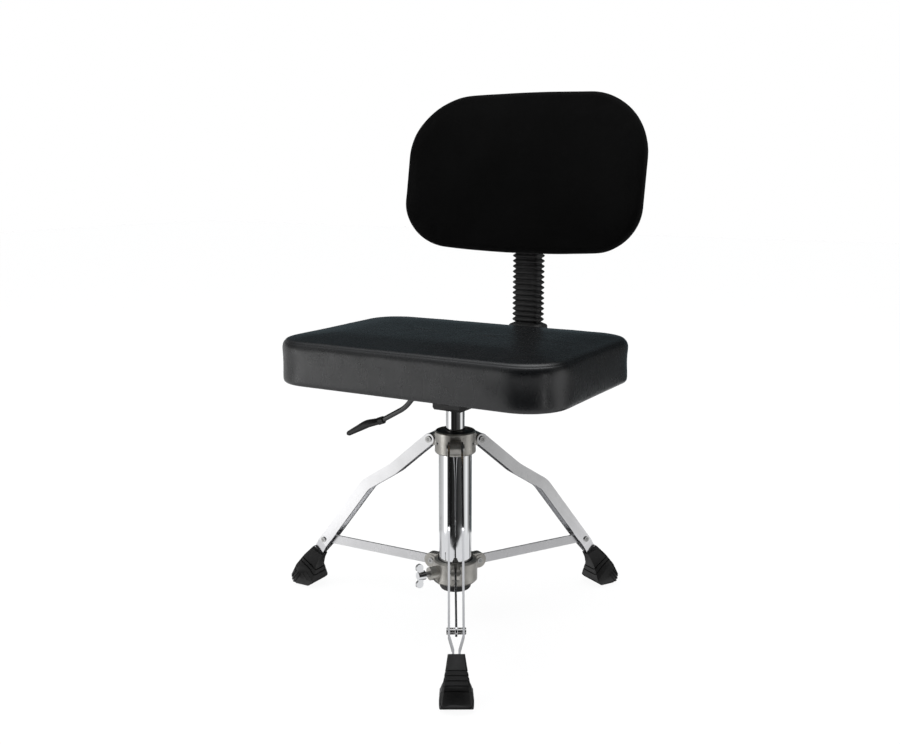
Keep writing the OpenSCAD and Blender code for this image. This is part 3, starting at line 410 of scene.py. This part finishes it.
def shade(mesh, angle):
    """Smooth, with the edges sharper than the angle left sharp."""

    def smooth(bm):
        for face in bm.faces:
            face.smooth = True
        for edge in bm.edges:
            joins = len(edge.link_faces) == 2
            edge.smooth = joins and edge.calc_face_angle(0) < math.radians(angle)

    edit(mesh, smooth)


def loft(name, rings, start_middle=None, end_middle=None):
    """Joins rings of equal length. Each end is a fan to its middle point, where one is given."""
    n = len(rings[0])
    points = [p for ring in rings for p in ring]
    faces = []
    for j in range(len(rings) - 1):
        for i in range(n):
            k = (i + 1) % n
            faces.append((j * n + i, j * n + k, (j + 1) * n + k, (j + 1) * n + i))
    for middle, j in ((start_middle, 0), (end_middle, len(rings) - 1)):
        if middle is None:
            continue
        points.append(middle)
        last = len(points) - 1
        for i in range(n):
            a, b = j * n + i, j * n + (i + 1) % n
            faces.append((last, b, a) if j == 0 else (last, a, b))
    mesh = bpy.data.meshes.new(name)
    mesh.from_pydata([tuple(p) for p in points], [], faces)
    edit(mesh, face_out)
    shade(mesh, 180)
    return new_object(name, mesh)


def welded_loft(name, rings, end_middle=None):
    """A loft in which rings that meet, or that are flattened to a line, are welded shut."""
    piece = loft(name, rings, end_middle=end_middle)
    edit(piece.data, weld, face_out)
    return piece


def dress(piece, slot):
    """Gives a new piece the slot's finish."""
    finish_with(piece, slot)


def stand_for(piece, node):
    """The piece takes the node's place, body and material slot."""
    dress(piece, SLOT[node])
    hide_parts(node)
    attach(piece, BODY[node])
    return piece


def rounded_outline(w, h, top_r, low_r, long, short, corner=10, pull=0.0):
    """Points round a rectangle, the straight sides drawn in by pull at their middles.

    Long and short are the counts of steps along its sides, and corner those in a corner.
    """
    radii = (top_r, top_r, low_r, low_r)
    signs = ((1, 1), (-1, 1), (-1, -1), (1, -1))
    centres = [
        Vector((sx * (w / 2 - r), sy * (h / 2 - r))) for r, (sx, sy) in zip(radii, signs)
    ]
    points = []
    for q in range(4):
        for i in range(corner + 1):
            a = math.radians(90 * (q + i / corner))
            points.append(centres[q] + radii[q] * Vector((math.cos(a), math.sin(a))))
        following = (q + 1) % 4
        a = math.radians(90 * (q + 1))
        out = Vector((math.cos(a), math.sin(a)))
        start, end = points[-1], centres[following] + radii[following] * out
        count = long if q % 2 == 0 else short
        for i in range(1, count):
            t = i / count
            points.append(start + t * (end - start) - pull * (1 - (2 * t - 1) ** 2) * out)
    return points


def swell(obj, pressure, cap, hold):
    """Blows up a voxel copy of obj as cloth. Returns its rest points and how far each moved.

    Hold says how firmly a point is held, from 0 to 1. No point moves further than cap.
    """
    voxel, frames = 0.006, 20
    scene = bpy.context.scene
    copy = new_object(obj.name + "_cloth", obj.data.copy())
    remesh = copy.modifiers.new("voxels", "REMESH")
    remesh.mode = "VOXEL"
    remesh.voxel_size = voxel
    graph = bpy.context.evaluated_depsgraph_get()
    mesh = bpy.data.meshes.new_from_object(copy.evaluated_get(graph))
    copy.modifiers.clear()
    copy.data = mesh
    rest = [v.co.copy() for v in mesh.vertices]
    held = copy.vertex_groups.new(name="held")
    for i, p in enumerate(rest):
        weight = hold(p)
        if weight > 0:
            held.add([i], weight, "REPLACE")
    cloth = copy.modifiers.new("cloth", "CLOTH")
    settings = cloth.settings
    settings.quality = 5
    settings.mass = 0.3
    settings.tension_stiffness = 22
    settings.compression_stiffness = 22
    settings.shear_stiffness = 8
    settings.bending_stiffness = 0.6
    settings.use_pressure = True
    settings.uniform_pressure_force = pressure
    settings.effector_weights.gravity = 0
    settings.vertex_group_mass = "held"
    cloth.point_cache.frame_start = 1
    cloth.point_cache.frame_end = frames
    for f in range(1, frames + 1):
        scene.frame_set(f)
    graph = bpy.context.evaluated_depsgraph_get()
    blown = copy.evaluated_get(graph).to_mesh()
    moved = []
    for v, p in zip(blown.vertices, rest):
        d = v.co - p
        if d.length > cap:
            d *= cap / d.length
        moved.append(d)
    copy.evaluated_get(graph).to_mesh_clear()
    bpy.data.objects.remove(copy)
    scene.frame_set(1)
    return rest, moved


def carry(obj, rest, moved, share_at):
    """Moves each of obj's points by its share of how the blown copy's nearest points moved."""
    neighbours, softening = 6, 0.001
    tree = kdtree.KDTree(len(rest))
    for i, p in enumerate(rest):
        tree.insert(p, i)
    tree.balance()
    for v in obj.data.vertices:
        share = share_at(v.co)
        if share <= 0:
            continue
        total, d = 0.0, Vector()
        for _, i, distance in tree.find_n(v.co, neighbours):
            w = 1 / (distance + softening)
            total += w
            d += w * moved[i]
        v.co += share * d / total
    obj.data.update()


def ripple(obj, height, per_metre, low=-math.inf):
    """Moves the points above low along their normals by a little noise."""
    for v in obj.data.vertices:
        if v.co.z > low:
            v.co += v.normal * height * noise.noise(v.co * per_metre)


def subdivide(obj):
    mod = obj.modifiers.new("smooth", "SUBSURF")
    mod.levels = mod.render_levels = 1


# Seat pad. Its rings are (inset, height) in millimetres

SEAT_W, SEAT_D, SEAT_R = 0.460, 0.320, 0.062
LEAST_SEAT_R = 0.006
SEAT_PULL = 0.0004
EDGE_Z, SEAT_CROWN, SEAT_CROWN_REACH = 440, 6, 110
CROWN_CURVE = 2.5


def seat_ring(inset, z):
    inset *= MM
    r = max(SEAT_R - inset, LEAST_SEAT_R)
    w, d = SEAT_W - 2 * inset, SEAT_D - 2 * inset
    return [
        Vector((p.x, p.y, z * MM)) for p in rounded_outline(w, d, r, r, 30, 18, pull=SEAT_PULL)
    ]


def seat_crown(inset):
    """Height of the crowned top at the inset."""
    return EDGE_Z + SEAT_CROWN * (1 - (1 - min(inset / SEAT_CROWN_REACH, 1)) ** CROWN_CURVE)


def seat_pad():
    """Cover and foam: a pocket round the board, a band, a sewn edge and a crowned top."""
    under = [(5.5, 390.2), (5.5, 378.0), (30.0, 377.9), (30.5, 377.2), (30.0, 376.1)]
    band = [
        (12, 376.0), (5, 376.0), (2.6, 376.6), (1.0, 378.5), (0.4, 382), (0.5, 389),
        (1.1, 398), (1.3, 407), (1.0, 416), (0.4, 423), (0.2, 427),
    ]
    edge = [
        (0.4, 429.6), (0.9, 431.8), (1.6, 433.7), (2.4, 435.2), (3.1, 436.2), (3.7, 436.7),
        (4.2, 436.9), (4.5, 437.4), (5.0, 438.2), (6.0, 439.2), (7.6, 440.1), (9.6, 440.8),
        (12.0, 441.3),
    ]
    top = [(i, seat_crown(i)) for i in (16, 22, 32, 44, 58, 74, 92, 112, 132, 150)]
    pad = loft(
        "seat_pad",
        [seat_ring(*s) for s in under + band + edge + top],
        Vector((0, 0, 0.3902)),
        Vector((0, 0, 0.446)),
    )
    # A plainer and slightly smaller shape to blow up
    lowest, plain_edge = 377, [(1, 432), (4, 437), (9, 440)]
    plain = loft(
        "seat_plain",
        [seat_ring(i + 1, max(z, lowest)) for i, z in band + plain_edge + top],
        Vector((0, 0, 0.377)),
        Vector((0, 0, 0.445)),
    )
    pocket_z, hem_z, board_z, sewn_z = 0.382, 0.379, 0.3915, 0.437

    def hold(p):
        """The hem is held fast, and the sewn edge nearly."""
        if p.z < pocket_z:
            return 1.0
        near = min(SEAT_W / 2 - abs(p.x), SEAT_D / 2 - abs(p.y))
        return 0.85 if abs(p.z - sewn_z) < 0.004 and near < 0.02 else 0.0

    def share_at(p):
        """Everything above the board swells, and so does the band beside it."""
        beside = max(abs(p.x) - SEAT_W / 2, abs(p.y) - SEAT_D / 2) > -0.004
        return 1.0 if p.z > board_z or p.z > hem_z and beside else 0.0

    rest, moved = swell(plain, pressure=5.0, cap=0.0022, hold=hold)
    bpy.data.objects.remove(plain)
    carry(pad, rest, moved, share_at)
    ripple(pad, 0.0004, 38, low=0.382)
    subdivide(pad)
    stand_for(pad, "seat_cover")
    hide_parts("seat_foam")


# Backrest. Its rings are (inset, depth behind the front) in millimetres

BACK_ORIGIN = Vector((0, 0.208, 0.682))
BACK_TURN = Matrix.Rotation(-math.radians(10.5), 3, "X")
BACK_W, BACK_H, BACK_TOP_R, BACK_LOW_R = 420, 260, 104, 72
LEAST_BACK_R = 6
# The sides come forward by WRAP, starting WRAP_FROM from the middle, and are a little less high
WRAP, WRAP_FROM, SIDE_DROP = 20, 35, 0.08
BACK_CROWN, BACK_CROWN_REACH, BACK_CROWN_FROM = 8, 120, 26


def back_point(u, v, w):
    """A point across, up and behind the backrest's front, all in millimetres."""
    return BACK_ORIGIN + BACK_TURN @ Vector((u * MM, w * MM, v * MM))


def wrapped(u):
    """How far a side of the backrest comes forward of its flat middle."""
    return WRAP * (max(abs(u) - WRAP_FROM, 0) / (BACK_W / 2 - WRAP_FROM)) ** 2


def back_ring(inset, depth, narrow=1.0, flatten=1.0):
    """Ring round the backrest. Narrow and flatten shrink it across and upwards."""
    w, h = BACK_W - 2 * inset, BACK_H - 2 * inset
    top, low = (max(r - inset, LEAST_BACK_R) for r in (BACK_TOP_R, BACK_LOW_R))
    ring = []
    for p in rounded_outline(w, h, top, low, 24, 12, corner=14):
        v = p.y * (1 - SIDE_DROP * (p.x / (BACK_W / 2)) ** 2)
        u = p.x * narrow
        ring.append(back_point(u, v * flatten, depth - wrapped(u)))
    return ring


def back_face(inset, depths):
    """Rings from the inset to a level line across the middle, so the face has no point."""
    narrowest = 0.62
    last = len(depths) - 1
    return [
        back_ring(inset, d, 1 - (1 - narrowest) * i / last, 1 - i / last)
        for i, d in enumerate(depths)
    ]


def back_crown(inset):
    """Depth of the crowned front at the inset."""
    return BACK_CROWN * (1 - min(inset / BACK_CROWN_REACH, 1)) ** CROWN_CURVE


def back_crowned_face(inset, behind=0.0):
    """The front's face from its middle out to the inset, moved back by behind."""
    steps = 9
    reach = BACK_CROWN_REACH - BACK_CROWN_FROM
    depths = [back_crown(BACK_CROWN_FROM + reach * t / steps) + behind for t in range(steps + 1)]
    return back_face(inset, depths)[::-1]


def back_pad():
    """Cover and foam: a crowned front, a soft edge and a hem turned in over the board."""
    front = [(i, back_crown(i)) for i in (19, 11, 6.5)]
    edge = [
        (3.6, 8.6), (1.8, 10.6), (0.7, 13), (0.2, 16.5), (0.1, 21), (0.5, 25.5), (1.3, 28.8),
        (2.4, 31.1), (4, 32),
    ]
    rear = [(16, 32), (28, 32), (28.5, 31.2), (28, 30.4), (7.6, 30.4), (7.4, 29.6), (7.4, 20.4)]
    pad = welded_loft(
        "back_pad",
        back_crowned_face(BACK_CROWN_FROM) + [back_ring(*s) for s in front + edge + rear],
        back_point(0, 0, 20.4),
    )
    # A plainer and slightly smaller shape to blow up
    plain_edge = front + edge[:-2] + [(4, 30)]
    plain = welded_loft(
        "back_plain",
        back_crowned_face(BACK_CROWN_FROM + 1, 0.8)
        + [back_ring(i + 1, max(d + 0.6, 0.8)) for i, d in plain_edge],
        back_point(0, 0, 30),
    )
    behind = BACK_TURN @ Vector((0, 1, 0))
    held_from, still_from, fade = 0.024, 0.0175, 0.008

    def depth(p):
        """How far a point lies behind the wrapped front, in metres."""
        return (p - BACK_ORIGIN).dot(behind) + wrapped(p.x / MM) * MM

    def hold(p):
        return 1.0 if depth(p) > held_from else 0.0

    def share_at(p):
        return min(1.0, max(0.0, (still_from - depth(p)) / fade))

    rest, moved = swell(plain, pressure=4.0, cap=0.002, hold=hold)
    bpy.data.objects.remove(plain)
    carry(pad, rest, moved, share_at)
    ripple(pad, 0.0003, 30)
    subdivide(pad)
    stand_for(pad, "back_cover")
    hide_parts("back_foam")


def back_shell():
    """The moulded tray, 3 mm thick, that closes the backrest's rear."""
    face_inset, face_rings = 34, 6
    inside, outside = 43, 46
    inner = [(20, 42.4), (12, 40), (8, 36), (7, 32.2)]
    outer = [
        (4, 32.2), (3.8, 33.5), (4.2, 37), (6, 40), (9, 42.5), (13, 44), (18, 45.2), (25, 45.8),
    ]
    shell = welded_loft(
        "back_shell_moulding",
        back_face(face_inset, [inside] * face_rings)[::-1]
        + [back_ring(*s) for s in inner + outer]
        + back_face(face_inset, [outside] * face_rings),
    )
    shade(shell.data, 60)
    stand_for(shell, "back_shell")


# Bellows, dust cloth and rivets


def fold(t):
    """A pleat's wave: 0 at its ends and 1 at its middle."""
    return 0.5 - 0.5 * math.cos(2 * math.pi * t)


def bellows():
    """Pleats between a skirt round the bar and a cuff at the shell, in millimetres."""
    low, high = 411.7, 552.3
    middle_y, width, depth, corner_r, least_r = 242.18, 50, 32, 9, 2.5
    pleats, deep, steps, blunt = 13, 4.5, 8, 0.8
    skirt, flare, cuff = 22, 6, 4
    wall, hole = 1.4, 9.7
    first, last = low + skirt, high - cuff
    pitch = (high - low - skirt - cuff) / pleats

    def ring(inset, z):
        r = max(corner_r - inset * (0.6 if inset > 0 else 1), least_r)
        out = rounded_outline(width - 2 * inset, depth - 2 * inset, r, r, 6, 4, corner=8)
        return [Vector((p.x * MM, (p.y + middle_y) * MM, z * MM)) for p in out]

    profile = [
        (hole, low + 1.6), (hole, low), (1.2 - flare, low), (0.1 - flare, low + 1),
        (0.1 - flare, first - 7), (0.5 - flare, first - 5.6), (2 - flare, first - 4),
        (2.4, first - 1.1), (deep - 0.2, first - 0.4),
    ]
    for i in range(pleats):
        for j in range(steps):
            t = (j + 0.5) / steps
            profile.append((deep * (1 - fold(t) ** blunt), first + (i + t) * pitch))
    profile += [
        (deep / 2, last + 0.6), (deep / 2, high - 0.2), (deep / 2 + 1.2, high),
        (hole, high), (hole, high - 1.6),
    ]
    # The inside follows with fewer steps
    for i in range(pleats - 1, -1, -1):
        for t in (0.95, 0.5, 0.05):
            profile.append((deep * (1 - fold(t)) + wall, first + (i + t) * pitch))
    profile += [(4.4 - flare, first - 5), (2 - flare, low + 2.6)]
    rings = [ring(*s) for s in profile]
    piece = welded_loft("bellows_folds", rings + [rings[0]])
    shade(piece.data, 180)
    dress(piece, SLOT["bellows"])
    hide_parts("bellows")
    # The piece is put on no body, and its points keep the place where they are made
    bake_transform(piece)


def dust_cloth():
    """The cloth under the board: tacked along its edges and a little slack between them."""
    rim_steps, cells = 8, 36
    slack, slope, folds_per_metre = 0.0008, 0.03, 16
    bar_half_width, bar_from_y = 0.02, 0.045
    low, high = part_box("dust_cover")
    bm = bmesh.new()
    bm.from_mesh(frame["nodes"]["dust_cover"].data)
    bmesh.ops.remove_doubles(bm, verts=bm.verts, dist=SAME_CAD)
    flat = sum(f.calc_area() for f in bm.faces if f.normal.z < -0.9)
    rim = []
    for e in bm.edges:
        a, b = (v.co for v in e.verts)
        if abs(a.z - b.z) < SAME and any(abs(f.normal.z) < 0.1 for f in e.link_faces):
            rim += [a.lerp(b, k / rim_steps) for k in range(rim_steps)]
    edge = kdtree.KDTree(len(rim))
    for i, p in enumerate(rim):
        edge.insert((p.x, p.y, 0), i)
    edge.balance()
    for axis, across in ((0, (1, 0, 0)), (1, (0, 1, 0))):
        for i in range(1, cells):
            at = [0, 0, 0]
            at[axis] = low[axis] + (high[axis] - low[axis]) * i / cells
            everything = bm.verts[:] + bm.edges[:] + bm.faces[:]
            bmesh.ops.bisect_plane(bm, geom=everything, dist=SAME, plane_co=at, plane_no=across)
    for v in bm.verts:
        # Flat where the back's bar runs close under it
        beside = max(abs(v.co.x) - bar_half_width, bar_from_y - v.co.y, 0)
        away = min(edge.find((v.co.x, v.co.y, 0))[2] / slope, beside / slope, 1)
        sag = noise.noise(Vector((v.co.x * folds_per_metre, v.co.y * folds_per_metre, 0))) + 1
        v.co.z -= away * away * (3 - 2 * away) * slack * sag
    mesh = bpy.data.meshes.new("dust_cloth")
    bm.to_mesh(mesh)
    bm.free()
    shade(mesh, 50)
    piece = stand_for(new_object("dust_cloth", mesh), "dust_cover")


def rivet_sockets_with_painted_shade():
    """The rolled hollow in the middle of each rivet's head, on both sides of each leg. Its black
    finish is painted shade, standing for the shade that falls in the hollow.
    """
    # Radius, and height over the head, in millimetres
    profile = [
        (0.9, -0.5), (1.2, -0.45), (1.3, 0.05), (1.5, 0.14), (1.75, 0.12), (1.95, 0.0),
        (1.95, -0.4),
    ]
    turns = [math.tau * i / 24 for i in range(24)]
    leg_half_width = 0.03
    for leg in LEGS:
        foot = frame["nodes"]["foot_" + leg].data.vertices
        out = sum((v.co for v in foot), Vector())
        out = Vector((out.x, out.y, 0)).normalized()
        across = UP.cross(out)
        for node in ("leg_pivot_pins", "brace_pins", f"leg_{leg}_rivets"):
            near = [
                v.co for v in frame["nodes"][node].data.vertices
                if v.co.dot(out) > 0 and abs(v.co.dot(across)) < leg_half_width
            ]
            low, high = (
                [ends(point.dot(way) for point in near) for way in (out, across, UP)]
                for ends in (min, max)
            )
            middle = out * (low[0] + high[0]) / 2 + UP * (low[2] + high[2]) / 2
            for name, side, end in (("left", -1, low[1]), ("right", 1, high[1])):
                face = middle + across * end
                rings = [
                    [
                        face + across * (side * h * MM)
                        + (out * math.cos(a) + UP * math.sin(a)) * (r * MM)
                        for a in turns
                    ]
                    for r, h in profile
                ]
                down = across * (profile[0][1] * MM * side)
                socket = loft(f"{node}_{leg}_socket_{name}", rings, face + down, face + down * 0.8)
                # Painted shade: the hollow is the rivet's own steel, dressed black to stand for
                # the shade inside it
                dress(socket, "black_steel")
                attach(socket, BODY[node])


# Hard pieces: the CAD shape with its edges broken, each by its width

EDGES = {
    "upper_collar": 0.0008,
    "lower_collar": 0.0009,
    **{f"foot_{leg}": 0.0012 for leg in LEGS},
    **{f"leg_{leg}_bars": 0.0005 for leg in LEGS},
    **{f"brace_{leg}": 0.0005 for leg in LEGS},
    "mechanism_pan": 0.0006,
    "back_arm": 0.0008,
    "back_bracket": 0.0006,
    "wing_head": 0.0008,
    "depth_knob": 0.0012,
    "height_knob": 0.0012,
    "column_tube": 0.0004,
    "column_cap": 0.0006,
    "guide_bushing": 0.0004,
    "lever_grip": 0.0004,
    "pressure_tube": 0.0003,
}
SHARP, COPLANAR = 32, 0.4    # degrees


def simplify(bm):
    """Takes a CAD mesh's triangles back to whole faces."""
    bmesh.ops.remove_doubles(bm, verts=bm.verts, dist=SAME_CAD)
    bmesh.ops.dissolve_limit(
        bm, angle_limit=math.radians(COPLANAR), verts=bm.verts, edges=bm.edges,
        use_dissolve_boundaries=False,
    )
    bmesh.ops.dissolve_degenerate(bm, dist=SAME_CAD, edges=bm.edges)


def broken_edges(node, width):
    mesh = frame["nodes"][node].data.copy()
    edit(mesh, simplify)
    shade(mesh, SHARP)
    piece = new_object(node + "_edged", mesh)
    mod = piece.modifiers.new("edges", "BEVEL")
    mod.width = width
    mod.segments = 2
    mod.limit_method = "ANGLE"
    mod.angle_limit = math.radians(SHARP)
    mod.use_clamp_overlap = True
    mod.harden_normals = True
    mod.miter_outer = "MITER_ARC"
    stand_for(piece, node)


seat_pad()
back_pad()
back_shell()
bellows()
rivet_sockets_with_painted_shade()
dust_cloth()
for node, width in EDGES.items():
    broken_edges(node, width)
for node, obj in frame["nodes"].items():
    finish_with(obj, SLOT[node])


# Floor, light and camera

FLOOR_HALF = 9
# How far the camera sees through the floor, and the white that it gains there
FLOOR_CLEAR, FLOOR_GLOW = 0.85, 0.62

# Colours round the horizon: 0 and 1 are behind the chair, 0.25 left, 0.5 front and 0.75 right
HORIZON = [
    (0.0, (0.09, 0.12, 0.135)), (0.12, (0.105, 0.14, 0.155)), (0.16, 0.5), (0.21, 0.56),
    (0.28, 0.56), (0.32, 0.70), (0.345, 0.9), (0.36, 2.5), (0.388, 2.5), (0.405, 1.0),
    (0.418, 0.8), (0.436, 0.4), (0.455, 0.02), (0.50, 0.006), (0.54, 0.025), (0.60, 0.012),
    (0.66, 0.05), (0.70, 0.06), (0.725, 0.010), (0.738, 0.02), (0.757, 0.42), (0.78, 0.62),
    (0.80, 0.9), (0.82, 1.0), (0.85, 0.62), (0.875, 0.42), (0.89, 0.10), (0.95, 0.08),
    (1.0, (0.09, 0.12, 0.135)),
]
FLOOR_GREY, SKY_GREY = (0.78, 0.78, 0.79, 1), (0.76, 0.77, 0.79, 1)
WHITE = (1, 1, 1)


def floor():
    corners = ((-1, -1), (1, -1), (1, 1), (-1, 1))
    mesh = bpy.data.meshes.new("floor")
    mesh.from_pydata(
        [(x * FLOOR_HALF, y * FLOOR_HALF, 0) for x, y in corners], [], [(0, 1, 2, 3)]
    )
    plane = new_object("floor", mesh)
    s = Shader("floor")
    seen = s.new("ShaderNodeLightPath").outputs["Is Camera Ray"]
    # Mostly clear to the camera, so the white world and the folded tripod's feet show through
    s.set(
        Base_Color=(0.93, 0.93, 0.93),
        Roughness=0.9,
        Specular_IOR_Level=0.1,
        Alpha=s.maths("MULTIPLY_ADD", seen, -FLOOR_CLEAR, 1.0),
        Emission_Color=WHITE,
        Emission_Strength=s.maths("MULTIPLY", seen, FLOOR_GLOW),
    )
    mesh.materials.append(s.mat)
    plane.visible_glossy = False


def world():
    """White to the camera. What lights the chair is darker, with bright and dark sides."""
    studio = bpy.data.worlds.new("studio")
    studio.use_nodes = True
    bpy.context.scene.world = studio
    studio.node_tree.nodes.clear()
    s = Nodes(studio.node_tree)
    generated = s.new("ShaderNodeTexCoord").outputs["Generated"]
    x, y, z = s.new("ShaderNodeSeparateXYZ", Vector=generated).outputs[:3]
    # Angle to the right of the seat's front, in turns of a circle, with the front at a half
    angle = s.maths("ARCTAN2", x, s.maths("MULTIPLY", y, -1.0))
    share = s.maths("MULTIPLY_ADD", angle, 0.5 / math.pi, 0.5)
    # The pale floor's reflection rises in front to a blunt point
    point, steepness, blunt, depth_there, sharpness = 0.565, 0.15, 0.021, 0.352, 300.0
    side = s.maths("ABSOLUTE", s.maths("SUBTRACT", share, point))
    rise = s.maths("MINIMUM", s.maths("MULTIPLY", side, steepness), blunt)
    low = s.maths("SUBTRACT", s.maths("SUBTRACT", rise, z), depth_there)
    pale = s.ramp(s.maths("MULTIPLY", low, sharpness), [(0.0, 0.0), (0.6, 1.0)])
    ring = s.mix("MIX", pale, s.ramp(share, HORIZON), FLOOR_GREY)
    # Steeply down behind it is dark, and it is bright only up to the horizon
    down = s.ramp(s.maths("MULTIPLY", z, -1.0), [(0.0, 0.0), (0.39, 0.0), (0.50, 0.97)])
    behind = s.ramp(share, [(0.0, 1.0), (0.19, 1.0), (0.24, 0.0), (0.855, 0.0), (0.90, 1.0)])
    light = s.maths("SUBTRACT", 1.0, s.maths("MULTIPLY", down, behind))
    fading = s.ramp(s.maths("ADD", z, 0.5), [(0.50, 1.0), (0.62, 0.7), (0.70, 0.25)])
    ring = s.mix("MULTIPLY", 1.0, ring, s.maths("MULTIPLY", light, fading))
    # Overhead it is an even grey
    above = s.ramp(z, [(0.0, 0.0), (0.66, 0.0), (0.84, 1.0)])
    lit = s.new("ShaderNodeBackground", Color=s.mix("MIX", above, ring, SKY_GREY))
    seen = s.new("ShaderNodeBackground", Color=(*WHITE, 1))
    both = s.new("ShaderNodeMixShader")
    camera_ray = s.new("ShaderNodeLightPath").outputs["Is Camera Ray"]
    for socket, value in zip(both.inputs, (camera_ray, lit.outputs[0], seen.outputs[0])):
        s.feed(socket, value)
    s.new("ShaderNodeOutputWorld", Surface=both.outputs[0])


def face_along(obj, way):
    obj.rotation_euler = way.to_track_quat("-Z", "Y").to_euler()


def soft_light(name, at, to, size, watts, mirrored=True):
    """A rectangular lamp, which glossy surfaces may mirror or not."""
    data = bpy.data.lights.new(name, "AREA")
    data.shape = "RECTANGLE"
    data.size, data.size_y = size
    data.energy = watts
    light = new_object(name, data)
    light.location = at
    light.visible_glossy = mirrored
    face_along(light, Vector(to) - Vector(at))


def camera():
    """The photograph's camera, as fitted to the seat's and the backrest's outlines."""
    photo_width, focal, shift = 900, 1073.2, -5.32    # pixels
    sensor = 36
    azimuth, pitch = math.radians(30.2), math.radians(10.92)
    away, height = 1.5712, 0.6911
    data = bpy.data.cameras.new("camera")
    data.sensor_width = sensor
    data.lens = focal / photo_width * sensor
    data.shift_x = shift / photo_width
    data.clip_start = 0.05
    cam = new_object("camera", data)
    right, front = math.sin(azimuth), -math.cos(azimuth)
    cam.location = (right * away, front * away, height)
    face_along(cam, Vector((-right * math.cos(pitch), -front * math.cos(pitch), -math.sin(pitch))))
    bpy.context.scene.camera = cam


floor()
world()
soft_light("key", at=(-1.3, -1.5, 2.1), to=(0, 0, 0.4), size=(1.4, 1.4), watts=18, mirrored=False)
soft_light("top", at=(0.2, 0.3, 2.6), to=(0, 0, 0.4), size=(1.8, 1.8), watts=14)
soft_light("edge", at=(1.70, -0.66, 0.20), to=(0.2, -0.12, 0.38), size=(0.14, 0.36), watts=0.8)
camera()
bpy.context.scene.view_settings.view_transform = "Standard"
